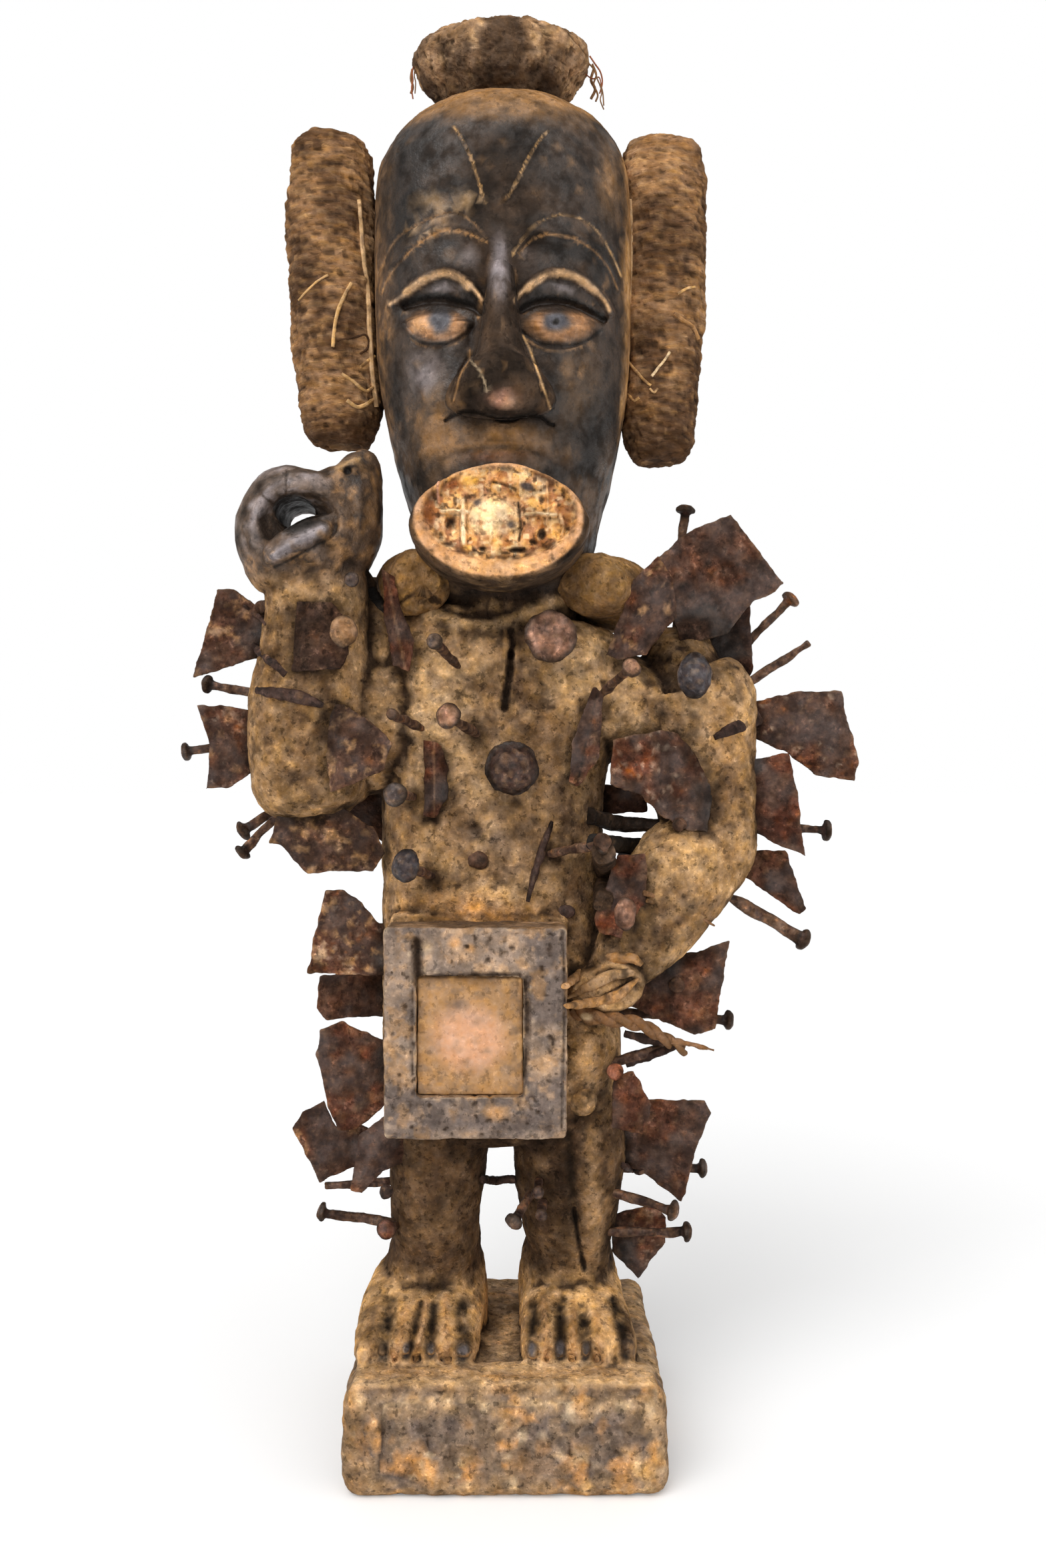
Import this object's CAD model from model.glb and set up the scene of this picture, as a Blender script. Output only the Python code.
"""A carved power figure with driven blades and nails, dressed piece by piece on its frame."""

import logging
import math
from dataclasses import dataclass, field
from enum import Enum

import bpy
import numpy as np
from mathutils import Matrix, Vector
from mathutils.bvhtree import BVHTree


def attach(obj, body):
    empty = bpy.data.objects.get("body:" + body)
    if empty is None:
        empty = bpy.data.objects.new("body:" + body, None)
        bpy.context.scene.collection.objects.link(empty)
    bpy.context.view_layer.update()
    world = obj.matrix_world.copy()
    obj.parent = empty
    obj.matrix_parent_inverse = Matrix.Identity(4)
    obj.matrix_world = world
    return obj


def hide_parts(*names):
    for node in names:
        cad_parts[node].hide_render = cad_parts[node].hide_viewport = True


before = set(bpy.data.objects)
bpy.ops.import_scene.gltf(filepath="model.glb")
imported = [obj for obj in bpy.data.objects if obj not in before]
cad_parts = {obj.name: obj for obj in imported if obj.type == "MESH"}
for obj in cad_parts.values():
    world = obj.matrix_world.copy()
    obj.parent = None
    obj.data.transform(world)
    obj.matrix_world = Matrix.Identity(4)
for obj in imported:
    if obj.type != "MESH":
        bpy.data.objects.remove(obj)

logging.basicConfig(level=logging.INFO, format="%(message)s")
LOG = logging.getLogger("power_figure")

Array = np.ndarray
Colour = tuple[float, float, float]
Place = tuple[float, float, float]
Seen = tuple[float, float]
Station = tuple[float, float, float, float, float, float]

MM = 0.001
UP: Place = (0.0, 0.0, 1.0)
FRONT: Place = (0.0, -1.0, 0.0)

# The place it is looked at from, in millimetres, and the width of the picture it is drawn on.
EYE = (9.8, -797.0, 386.0)
PICTURE_SIZE = (1568, 2350)
PICTURE_CENTRE = (784.0, 1165.0)
PICTURE_LENGTH = 2000.0
SENSOR = 36.0


class Tone(Enum):
    """The colours of the figure's woods, earths, fibres and irons, as shown on screen."""

    POLISHED_DARK = (56, 45, 37)
    POLISHED_WARM = (84, 65, 50)
    POLISHED_GREY = (146, 136, 136)
    UNDERSIDE = (40, 29, 21)
    SOOT = (22, 17, 13)
    WORN_OCHRE = (166, 124, 82)
    BRIGHT_OCHRE = (220, 174, 118)
    SAND = (208, 170, 126)
    DUN = (162, 128, 92)
    EARTH = (102, 76, 52)
    LEG_DARK = (70, 52, 38)
    FOOT_OCHRE = (194, 150, 100)
    BASE_GREY = (124, 103, 84)
    FLAKE_ORANGE = (214, 152, 92)
    FLAKE_PALE = (224, 196, 156)
    LID = (228, 184, 138)
    EYE_WOOD = (210, 158, 114)
    EYE_WOOD_DARK = (140, 100, 68)
    PUPIL = (74, 74, 80)
    PEACH = (228, 174, 122)
    CREAM = (246, 214, 168)
    GOLD = (228, 172, 96)
    MOUTH_BROWN = (146, 92, 60)
    MOUTH_HOLE = (78, 62, 46)
    PINK_TIP = (196, 144, 120)
    BUNDLE_BROWN = (132, 98, 68)
    BUNDLE_DARK = (74, 53, 38)
    STRAND = (206, 164, 112)
    ROLL_EARTH = (132, 99, 64)
    ROLL_LIGHT = (168, 130, 84)
    CROWN_BROWN = (146, 115, 86)
    CROWN_DARK = (62, 48, 38)
    FRAME_GREY = (138, 118, 102)
    FRAME_DARK = (96, 84, 78)
    FRAME_TAN = (196, 158, 122)
    PANEL_PINK = (208, 158, 126)
    PANEL_OCHRE = (164, 126, 88)
    RUST_DARK = (60, 43, 36)
    RUST_RED = (98, 54, 38)
    RUST_BROWN = (84, 60, 46)
    RUST_TAN = (150, 114, 80)
    RUST_ORANGE = (168, 100, 56)
    RUST_PALE = (206, 184, 160)
    NAIL_GREY = (80, 72, 70)
    NAIL_BLUE = (60, 58, 62)
    NAIL_TAN = (164, 120, 96)
    ROOT_TAN = (124, 90, 62)
    ROOT_CREAM = (232, 208, 164)
    KNOB_TAN = (150, 116, 78)
    LUMP_RED = (150, 92, 66)


def linear(shade: Array) -> Array:
    """Turn screen shades of 0 to 1 into amounts of light."""
    return np.where(shade <= 0.04045, shade / 12.92, ((shade + 0.055) / 1.055) ** 2.4)


# Curves, noise and marks


def along_curve(points: Array, where: Array) -> Array:
    """Places on a smooth curve through points.

    Args:
        points: one row for each point.
        where: shares of the curve's length, from 0 to 1.

    Returns:
        One row for each share.
    """
    last = len(points) - 1
    place = np.clip(where, 0, 1) * last
    index = np.minimum(place.astype(int), last - 1)
    w = (place - index)[:, None]
    ends = np.vstack([2 * points[0] - points[1], points, 2 * points[-1] - points[-2]])
    p0, p1, p2, p3 = (ends[index + k] for k in range(4))
    t0, t1 = 0.5 * (p2 - p0), 0.5 * (p3 - p1)
    return p1 + t0 * w + (3 * (p2 - p1) - 2 * t0 - t1) * w**2 + (2 * (p1 - p2) + t0 + t1) * w**3


def soften(value: Array, low: float, high: float) -> Array:
    """A smooth step from 0 at low to 1 at high."""
    share = np.clip((value - low) / (high - low), 0, 1)
    return share * share * (3 - 2 * share)


def hashed(cells: Array, seed: int) -> Array:
    """An unchanging random number from 0 to 1 for each whole-numbered cell."""
    a, b, c = (cells[:, k].astype(np.int64) for k in range(3))
    mixed = (a * 73856093) ^ (b * 19349663) ^ (c * 83492791) ^ (seed * 2654435)
    mixed &= 0xFFFFFFFF
    mixed = ((mixed ^ (mixed >> 13)) * 1274126177) & 0xFFFFFFFF
    mixed = ((mixed ^ (mixed >> 16)) * 668265263) & 0xFFFFFFFF
    return ((mixed ^ (mixed >> 15)) & 0xFFFFFF) / float(0xFFFFFF)


def grain(points: Array, size: float | Place, seed: int) -> Array:
    """Smooth random ups and downs from -1 to 1.

    Args:
        points: places in millimetres.
        size: how far the ups lie apart, one number or one for each axis.
        seed: picks the pattern.

    Returns:
        One value for each place.
    """
    scaled = points / np.asarray(size, float) + 1000.0
    base = np.floor(scaled)
    part = scaled - base
    part = part * part * part * (part * (part * 6 - 15) + 10)
    total = np.zeros(len(points))
    for corner in range(8):
        step = np.array([corner & 1, (corner >> 1) & 1, (corner >> 2) & 1])
        weight = np.prod(np.where(step, part, 1 - part), axis=1)
        total += weight * hashed(base + step, seed)
    return total * 2 - 1


def layered(points: Array, size: float | Place, layers: int, seed: int) -> Array:
    """Several sizes of grain on top of each other, from about -1 to 1."""
    total, reach, share = np.zeros(len(points)), np.asarray(size, float), 1.0
    for k in range(layers):
        total += grain(points, reach, seed + 17 * k) * share
        reach, share = reach * 0.5, share * 0.55
    return total * 0.75


def seen_from_front(points: Array) -> tuple[Array, Array]:
    """Where places in millimetres appear on the picture, across and down."""
    depth = (points[:, 1] - EYE[1]) / PICTURE_LENGTH
    return (
        PICTURE_CENTRE[0] + (points[:, 0] - EYE[0]) / depth,
        PICTURE_CENTRE[1] - (points[:, 2] - EYE[2]) / depth,
    )


def behind(seen: Seen, depth: float) -> Place:
    """The place at a depth in millimetres that appears at a spot of the picture."""
    scale = (depth - EYE[1]) / PICTURE_LENGTH
    across, down = seen
    return (
        EYE[0] + (across - PICTURE_CENTRE[0]) * scale,
        depth,
        EYE[2] - (down - PICTURE_CENTRE[1]) * scale,
    )


class Sight:
    """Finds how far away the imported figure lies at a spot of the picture."""

    def __init__(self, prefixes: tuple[str, ...] = ("",)) -> None:
        """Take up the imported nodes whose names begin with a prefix."""
        corners: list[Vector] = []
        faces: list[tuple[int, ...]] = []
        for name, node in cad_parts.items():
            if name.startswith(prefixes):
                first = len(corners)
                corners += [v.co.copy() for v in node.data.vertices]
                faces += [tuple(first + k for k in face.vertices) for face in node.data.polygons]
        self.tree = BVHTree.FromPolygons(corners, faces)

    def depth(self, seen: Seen, otherwise: float) -> float:
        """The depth in millimetres at a spot, or another where nothing is seen there."""
        start = Vector([c * MM for c in EYE])
        toward = Vector([c * MM for c in behind(seen, 0.0)]) - start
        hit = self.tree.ray_cast(start, toward.normalized())[0]
        return otherwise if hit is None else hit.y * 1000

    def near(self, points: Array, reach: float) -> Array:
        """How near the nodes are to each point: 1 where they touch, 0 from reach millimetres on."""
        away = np.full(len(points), reach)
        for k, point in enumerate(points * MM):
            found = self.tree.find_nearest(Vector(point), reach * MM)[3]
            if found is not None:
                away[k] = found * 1000
        return 1 - away / reach


    def shade(self, points: Array, facing: Array, reach: float = 42.0) -> Array:
        """How closed in each place is, from 0 in the open to 1 in a deep hollow.

        Args:
            points: places in millimetres.
            facing: the directions in which the surface faces there.
            reach: how far to look round.

        Returns:
            The closed share for each place.
        """
        around = np.array([
            (0, 0, 1), (0.8, 0, 0.6), (-0.8, 0, 0.6), (0, -0.8, 0.6), (0.7, -0.7, 0),
            (-0.7, -0.7, 0),
            (0, -0.7, -0.7),
        ])
        starts = (points + facing * 2.5) * MM
        closed = np.zeros(len(points))
        for way in around:
            toward = facing + 0.9 * way
            toward /= np.maximum(np.linalg.norm(toward, axis=1), 1e-6)[:, None]
            for k, (start, ahead) in enumerate(zip(starts.tolist(), toward.tolist())):
                away = self.tree.ray_cast(start, ahead, reach * MM)[3]
                if away is not None:
                    closed[k] += 1 - away / (reach * MM) * 0.6
        return closed / len(around)


class Outline(Enum):
    """The outline of a patch."""

    OVAL = "oval"
    ALMOND = "almond"
    BLOCK = "block"


@dataclass(frozen=True)
class Line:
    """A ridge, groove or streak along a smooth line on the picture.

    width is its half width on the picture, rise its height in millimetres, negative for a groove.
    """

    path: tuple[Seen, ...]
    width: float
    rise: float = 0.0
    tone: Tone | None = None
    strength: float = 1.0
    fine: bool = False

    def weight(self, across: Array, down: Array) -> Array:
        """How strongly each spot of the picture belongs to the line, from 0 to 1."""
        weight = np.zeros(len(across))
        path = np.array(self.path, float)
        if len(path) > 2:
            path = along_curve(path, np.linspace(0, 1, 6 * len(path)))
        low, high = path.min(0) - self.width, path.max(0) + self.width
        near = (across > low[0]) & (across < high[0]) & (down > low[1]) & (down < high[1])
        u, v = across[near], down[near]
        best = np.full(len(u), 1e9)
        for start, end in zip(path[:-1], path[1:]):
            step = end - start
            share = ((u - start[0]) * step[0] + (v - start[1]) * step[1]) / max(step @ step, 1e-9)
            share = np.clip(share, 0, 1)
            away = np.hypot(u - start[0] - share * step[0], v - start[1] - share * step[1])
            best = np.minimum(best, away)
        weight[near] = soften(1 - best / self.width, 0, 1)
        return weight


@dataclass(frozen=True)
class Patch:
    """A soft-edged patch on the picture, raised or sunk by rise millimetres."""

    centre: Seen
    radii: Seen
    rise: float = 0.0
    tone: Tone | None = None
    strength: float = 1.0
    turn: float = 0.0
    edge: float = 0.5
    outline: Outline = Outline.OVAL
    fine: bool = False

    def weight(self, across: Array, down: Array) -> Array:
        """How strongly each spot of the picture belongs to the patch, from 0 to 1."""
        turn = math.radians(self.turn)
        u, v = across - self.centre[0], down - self.centre[1]
        a = np.abs(u * math.cos(turn) + v * math.sin(turn)) / self.radii[0]
        b = np.abs(v * math.cos(turn) - u * math.sin(turn)) / self.radii[1]
        if self.outline is Outline.ALMOND:
            inside = 1 - a * a - b
        elif self.outline is Outline.BLOCK:
            inside = 1 - np.maximum(a, b)
        else:
            inside = 1 - np.hypot(a, b)
        return soften(inside, 0, self.edge)


Mark = Line | Patch


# The modelling bench


class Bench:
    """The few modelling steps that every piece is made with."""

    @staticmethod
    def clear() -> None:
        """Leave the bench with nothing selected."""
        if bpy.context.object and bpy.context.object.mode != "OBJECT":
            bpy.ops.object.mode_set(mode="OBJECT")
        bpy.ops.object.select_all(action="DESELECT")

    @classmethod
    def pick(cls, piece: bpy.types.Object) -> None:
        """Select one piece alone."""
        cls.clear()
        piece.select_set(True)
        bpy.context.view_layer.objects.active = piece

    @classmethod
    def named(cls, name: str) -> bpy.types.Object:
        """Name the piece that was just added and set its place in its mesh."""
        piece = bpy.context.object
        piece.name = name
        piece.data.name = name
        bpy.ops.object.transform_apply(location=True, rotation=True, scale=True)
        return piece

    @classmethod
    def ball(cls, name: str, centre: Place, radii: Place, fine: int = 24) -> bpy.types.Object:
        """Add an egg-shaped ball.

        Args:
            name: the piece's name.
            centre: its middle in millimetres.
            radii: its half sizes in millimetres.
            fine: how many sides it has.

        Returns:
            The ball.
        """
        cls.clear()
        bpy.ops.mesh.primitive_uv_sphere_add(segments=fine, ring_count=max(fine // 2, 3), radius=1)
        bpy.ops.transform.resize(value=[r * MM for r in radii])
        bpy.context.object.location = [c * MM for c in centre]
        return cls.named(name)

    @classmethod
    def block(
        cls, name: str, low: Place, high: Place, corner: float = 0.0, edge: float = 0.0
    ) -> bpy.types.Object:
        """Add a block between two corners, upright edges rounded by corner, the others by edge.

        Args:
            name: the piece's name.
            low: its lowest corner in millimetres.
            high: its highest corner in millimetres.
            corner: radius of the upright edges.
            edge: radius of the level edges.

        Returns:
            The block.
        """
        cls.clear()
        bpy.ops.mesh.primitive_cube_add(size=1)
        piece = bpy.context.object
        piece.scale = [(b - a) * MM for a, b in zip(low, high)]
        piece.location = [(a + b) / 2 * MM for a, b in zip(low, high)]
        cls.named(name)
        for reach, upright in ((corner, True), (edge, False)):
            if not reach:
                continue
            bpy.ops.object.mode_set(mode="EDIT")
            bpy.ops.mesh.select_all(action="DESELECT")
            bpy.ops.object.mode_set(mode="OBJECT")
            for e in piece.data.edges:
                a, b = (piece.data.vertices[k].co for k in e.vertices)
                is_up = abs(a.z - b.z) > abs(a.x - b.x) + abs(a.y - b.y)
                level = abs(a.z - b.z) < 1e-6
                e.select = is_up if upright else level
            bpy.ops.object.mode_set(mode="EDIT")
            bpy.ops.mesh.select_mode(type="EDGE")
            bpy.ops.mesh.bevel(offset=reach * MM, segments=4)
            bpy.ops.object.mode_set(mode="OBJECT")
        return piece

    @classmethod
    def loft(
        cls,
        name: str,
        stations: tuple[Station, ...],
        sides: int = 48,
        rings: int = 48,
        front: Place = FRONT,
    ) -> bpy.types.Object:
        """Draw a ball out through stations of centre, half width, half depth and squareness.

        Args:
            name: the piece's name.
            stations: the stations in millimetres.
            sides: sides round.
            rings: rings along.
            front: the direction in which depth is measured.

        Returns:
            The drawn-out piece.
        """
        cls.clear()
        bpy.ops.mesh.primitive_uv_sphere_add(segments=sides, ring_count=rings, radius=1)
        piece = cls.named(name)
        unit = Clay.read(piece.data)
        ring = np.rint(np.arccos(np.clip(unit[:, 2], -1, 1)) / math.pi * rings)
        along = np.clip((rings - ring - 1) / (rings - 2), 0, 1)
        reach = np.where((ring == 0) | (ring == rings), 0.0, 1.0)
        table = np.array(stations, float)
        centre = along_curve(table[:, :3], along)
        half = along_curve(table[:, 3:], along)
        ahead = along_curve(table[:, :3], along + 1e-3) - along_curve(table[:, :3], along - 1e-3)
        ahead /= np.linalg.norm(ahead, axis=1)[:, None]
        deep = np.array(front) - ahead * (ahead @ np.array(front))[:, None]
        deep /= np.linalg.norm(deep, axis=1)[:, None]
        side = np.cross(ahead, deep)
        radius = np.maximum(np.hypot(unit[:, 0], unit[:, 1]), 1e-9)
        sine, cosine = unit[:, 0] / radius, -unit[:, 1] / radius
        power = 2 / half[:, 2]
        x = reach * np.sign(sine) * np.abs(sine) ** power * half[:, 0]
        y = reach * np.sign(cosine) * np.abs(cosine) ** power * half[:, 1]
        Clay.store(piece.data, centre + side * x[:, None] + deep * y[:, None])
        return piece

    @classmethod
    def join(cls, name: str, parts: list[bpy.types.Object]) -> bpy.types.Object:
        """Join parts into one piece."""
        cls.clear()
        for part in parts:
            part.select_set(True)
        bpy.context.view_layer.objects.active = parts[0]
        if len(parts) > 1:
            bpy.ops.object.join()
        return cls.named(name)

    @classmethod
    def finish(cls, piece: bpy.types.Object, kind: str, **settings: object) -> None:
        """Add one modifier to a piece and apply it.

        Args:
            piece: the piece.
            kind: the modifier's kind.
            settings: its settings.
        """
        cls.pick(piece)
        change = piece.modifiers.new(kind.title(), kind)
        for key, value in settings.items():
            setattr(change, key, value)
        bpy.ops.object.modifier_apply(modifier=change.name)

    @classmethod
    def fuse(cls, piece: bpy.types.Object, grid: float, smoothing: int = 0) -> None:
        """Fuse a piece's shells into one skin of even faces, grid millimetres across."""
        cls.finish(piece, "REMESH", mode="VOXEL", voxel_size=grid * MM, use_smooth_shade=True)
        if smoothing:
            cls.finish(piece, "SMOOTH", factor=0.5, iterations=smoothing)

    @classmethod
    def cut(cls, piece: bpy.types.Object, tool: bpy.types.Object) -> None:
        """Cut a tool's shape out of a piece and put the tool away."""
        cls.finish(piece, "BOOLEAN", operation="DIFFERENCE", solver="EXACT", object=tool)
        bpy.data.objects.remove(tool)

    @classmethod
    def thin(cls, piece: bpy.types.Object, triangles: int, keep: Array | None = None) -> None:
        """Thin a mesh down to a number of triangles, last of all where keep is near 1."""
        piece.data.calc_loop_triangles()
        have = len(piece.data.loop_triangles)
        if have <= triangles:
            return
        settings: dict[str, object] = {"ratio": triangles / have}
        if keep is not None:
            group = piece.vertex_groups.new(name="thin")
            for level in range(11):
                chosen = np.nonzero(np.rint((1 - keep) * 10) == level)[0]
                if len(chosen) and level:
                    group.add(chosen.tolist(), level / 10, "REPLACE")
            settings["vertex_group"] = group.name
            settings["vertex_group_factor"] = 5e-5
        cls.finish(piece, "DECIMATE", **settings)
        piece.vertex_groups.clear()

    @classmethod
    def copy(cls, node: str, name: str) -> bpy.types.Object:
        """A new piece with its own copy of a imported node's mesh, its corners merged."""
        piece = bpy.data.objects.new(name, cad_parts[node].data.copy())
        bpy.context.scene.collection.objects.link(piece)
        piece.data.name = name
        piece.data.materials.clear()
        cls.pick(piece)
        bpy.ops.object.mode_set(mode="EDIT")
        bpy.ops.mesh.select_all(action="SELECT")
        bpy.ops.mesh.remove_doubles(threshold=1e-6)
        bpy.ops.object.mode_set(mode="OBJECT")
        return piece


class Clay:
    """A mesh's points in millimetres, with the moves that carve it and the tones that colour it."""

    def __init__(self, piece: bpy.types.Object) -> None:
        """Take up a piece."""
        self.piece = piece
        self.points = self.read(piece.data) * 1000
        self.look()
        count = len(self.points)
        self.tones = np.full((count, 3), 0.2)
        self.crust = np.full(count, 0.5)
        self.gloss = np.zeros(count)
        self.uneven = np.clip(0.9 + 0.7 * layered(self.points, 6, 3, 97), 0.3, 1)

    @staticmethod
    def read(mesh: bpy.types.Mesh) -> Array:
        """A mesh's points, one row each."""
        flat = np.empty(len(mesh.vertices) * 3, np.float32)
        mesh.vertices.foreach_get("co", flat)
        return flat.reshape(-1, 3).astype(float)

    @staticmethod
    def store(mesh: bpy.types.Mesh, points: Array) -> None:
        """Set a mesh's points from millimetres."""
        mesh.vertices.foreach_set("co", (points * MM).astype(np.float32).ravel())
        mesh.update()

    def look(self) -> None:
        """Store the points and read where the surface faces."""
        mesh = self.piece.data
        self.store(mesh, self.points)
        flat = np.empty(len(mesh.vertices) * 3, np.float32)
        mesh.vertex_normals.foreach_get("vector", flat)
        self.facing = flat.reshape(-1, 3).astype(float)
        self.across, self.down = seen_from_front(self.points)

    def within(self, low: Place, high: Place, edge: float = 8.0) -> Array:
        """How far inside a box each point lies, from 0 outside to 1, over a soft edge."""
        inside = np.ones(len(self.points))
        for k in range(3):
            inside *= soften(self.points[:, k] - low[k], -edge / 2, edge / 2)
            inside *= soften(high[k] - self.points[:, k], -edge / 2, edge / 2)
        return inside

    def move(self, amount: Array) -> None:
        """Push each point out along the surface by millimetres."""
        self.points += self.facing * amount[:, None]

    def mark(self, marks: tuple[Mark, ...], where: Array, shape: bool) -> None:
        """Carve marks into the surface, or colour them.

        Args:
            marks: the marks.
            where: a mask from 0 to 1 for each point.
            shape: True carves and False colours.
        """
        for mark in marks:
            if shape and not mark.rise or not shape and mark.tone is None:
                continue
            weight = mark.weight(self.across, self.down) * where
            if shape:
                self.points[:, 1] -= weight * mark.rise
            else:
                self.dye(mark.tone, weight * mark.strength * self.uneven)

    def dye(self, tone: Tone, weight: Array | float) -> None:
        """Mix a tone in by a weight from 0 to 1."""
        share = np.broadcast_to(np.clip(weight, 0, 1), len(self.points))[:, None]
        self.tones += (np.array(tone.value) / 255 - self.tones) * share

    def hollows(self, reach: int = 3) -> Array:
        """How hollow the surface is at each point: above 0 in grooves and below 0 on ridges."""
        mesh = self.piece.data
        ends = np.empty(len(mesh.edges) * 2, np.int32)
        mesh.edges.foreach_get("vertices", ends)
        a, b = ends.reshape(-1, 2).T
        count = len(self.points)
        number = np.maximum(np.bincount(a, minlength=count) + np.bincount(b, minlength=count), 1)

        def average(values: Array) -> Array:
            """The mean of the neighbours' values."""
            total = np.bincount(a, values[b], count) + np.bincount(b, values[a], count)
            return total / number

        mean = self.points.copy()
        for _ in range(reach):
            mean = np.stack([average(mean[:, k]) for k in range(3)], axis=1)
        bend = np.einsum("ij,ij->i", mean - self.points, self.facing)
        return (bend + average(bend)) / 2

    def paint(self) -> None:
        """Store the tones, crust and gloss on the mesh for its material."""
        mesh = self.piece.data
        full = np.ones((len(self.points), 4), np.float32)
        full[:, :3] = linear(np.clip(self.tones, 0, 1))
        tone = mesh.attributes.new("tone", "FLOAT_COLOR", "POINT")
        tone.data.foreach_set("color", full.ravel())
        for name, values in (("crust", self.crust), ("gloss", self.gloss)):
            store = mesh.attributes.new(name, "FLOAT", "POINT")
            store.data.foreach_set("value", np.clip(values, 0, 1).astype(np.float32))


# Finishes


@dataclass(frozen=True)
class Finish:
    """A surface whose tones are painted on, with specks, grain and wear from its material.

    Sizes are in millimetres. contrast is how far the mottling goes, dark and pale the strengths of
    the two kinds of specks, and glint how much the polished places reflect.
    """

    name: str
    speck: float = 1.0
    contrast: float = 1.0
    dark: float = 0.45
    pale: float = 0.4
    stretch: Place = (1.0, 1.0, 1.0)
    dull: float = 0.95
    shiny: float = 0.38
    glint: float = 0.34
    bump: float = 0.6

    def make(self) -> bpy.types.Material:
        """Build the material.

        Returns:
            The material.
        """
        material = bpy.data.materials.new(self.name)
        material.use_nodes = True
        tree = material.node_tree
        shader = tree.nodes["Principled BSDF"]

        def node(kind: str, **settings: object) -> bpy.types.Node:
            """Add a node with its settings."""
            made = tree.nodes.new("ShaderNode" + kind)
            for key, value in settings.items():
                if hasattr(made, key):
                    setattr(made, key, value)
                else:
                    made.inputs[key].default_value = value
            return made

        def noise(size: float, detail: float, shift: float) -> bpy.types.NodeSocket:
            """A noise of a size in millimetres."""
            made = node("TexNoise", Scale=1000 / size, Detail=detail, Roughness=0.6)
            place = node("Mapping", Scale=self.stretch, Location=(shift, shift * 0.7, shift * 0.3))
            tree.links.new(coords.outputs["Object"], place.inputs["Vector"])
            tree.links.new(place.outputs["Vector"], made.inputs["Vector"])
            return made.outputs["Fac"]

        def spread(
            source: bpy.types.NodeSocket, a: float, b: float, low: float, high: float,
            smooth: bool = False
        ) -> bpy.types.NodeSocket:
            """Stretch a value from a..b to low..high."""
            made = node("MapRange", interpolation_type="SMOOTHSTEP" if smooth else "LINEAR")
            for key, value in zip(("From Min", "From Max", "To Min", "To Max"), (a, b, low, high)):
                made.inputs[key].default_value = value
            tree.links.new(source, made.inputs["Value"])
            return made.outputs["Result"]

        def maths(
            operation: str, *values: bpy.types.NodeSocket | float
        ) -> bpy.types.NodeSocket:
            """Work out one sum of values."""
            made = node("Math", operation=operation)
            for socket, value in zip(made.inputs, values):
                if isinstance(value, float):
                    socket.default_value = value
                else:
                    tree.links.new(value, socket)
            return made.outputs["Value"]

        coords = node("TexCoord")
        tone = node("Attribute", attribute_name="tone").outputs["Color"]
        crust = node("Attribute", attribute_name="crust").outputs["Fac"]
        gloss = node("Attribute", attribute_name="gloss").outputs["Fac"]
        fine = noise(self.speck * 1.5, 4, 0.0)
        medium = noise(self.speck * 4.2, 6, 3.1)
        coarse = noise(self.speck * 12.0, 8, 7.7)

        swing = 0.34 * self.contrast
        value = maths(
            "MULTIPLY",
            spread(medium, 0.36, 0.64, 1 - 0.7 * swing, 1 + 0.7 * swing),
            maths(
                "MULTIPLY",
                spread(fine, 0.32, 0.68, 1 - 0.4 * swing, 1 + 0.4 * swing),
                spread(coarse, 0.4, 0.6, 1 - swing, 1 + swing),
            ),
        )
        pits = spread(noise(self.speck * 4.0, 6, 13.3), 0.43, 0.38, 0.0, self.dark, True)
        flecks = spread(noise(self.speck * 3.2, 6, 17.9), 0.59, 0.64, 0.0, self.pale, True)
        value = maths("MULTIPLY", value, maths("SUBTRACT", 1.0, pits))
        value = maths("MULTIPLY", value, maths("ADD", 1.0, flecks))
        share = spread(crust, 0.0, 1.0, 0.3, 1.0)
        value = maths("ADD", 1.0, maths("MULTIPLY", maths("SUBTRACT", value, 1.0), share))

        shade = node("HueSaturation")
        tree.links.new(tone, shade.inputs["Color"])
        tree.links.new(value, shade.inputs["Value"])
        other = noise(self.speck * 6.0, 2, 23.0)
        tree.links.new(spread(other, 0.3, 0.7, 0.92, 1.1), shade.inputs["Saturation"])
        tree.links.new(shade.outputs["Color"], shader.inputs["Base Color"])

        polish = maths("MULTIPLY", gloss, spread(coarse, 0.36, 0.6, 0.35, 1.0, True))
        tree.links.new(spread(polish, 0.0, 1.0, self.dull, self.shiny), shader.inputs["Roughness"])
        tree.links.new(spread(polish, 0.0, 1.0, 0.05, self.glint),
            shader.inputs["Specular IOR Level"])

        height = maths("MULTIPLY_ADD", medium, 1.6, fine)
        bump = node("Bump", Distance=self.bump * MM)
        tree.links.new(spread(crust, 0.0, 1.0, 0.15, 1.0), bump.inputs["Strength"])
        tree.links.new(height, bump.inputs["Height"])
        tree.links.new(bump.outputs["Normal"], shader.inputs["Normal"])
        return material


class Finishes:
    """Every finish of the figure, made once."""

    def __init__(self) -> None:
        """Make the materials."""
        self.wood = Finish("carved_wood", 1.0, 0.95, dark=0.5, pale=0.45, shiny=0.34, glint=0.42,
            bump=0.9).make()
        self.fibre = Finish("wound_fibre", 0.8, 0.9, stretch=(0.5, 0.5, 1.5), dull=1.0,
            glint=0.1).make()
        self.cloth = Finish("caked_cloth", 0.9, 0.9, dull=1.0, glint=0.1).make()
        self.strand = Finish("loose_strand", 0.6, 0.6, dark=0.4, pale=0.4, bump=0.15).make()
        self.frame = Finish("frame_wood", 0.9, 0.75, shiny=0.45).make()
        self.earth = Finish("packed_earth", 0.9, 0.42, dark=0.4, pale=0.3, bump=0.3).make()
        self.iron = Finish("forged_iron", 1.1, 1.6, dark=0.55, pale=0.9, dull=0.75, shiny=0.36,
            glint=0.5, bump=0.8).make()
        self.root = Finish("twisted_root", 0.7, 0.7, dull=0.9, bump=0.3).make()


# The carved wood


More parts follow.
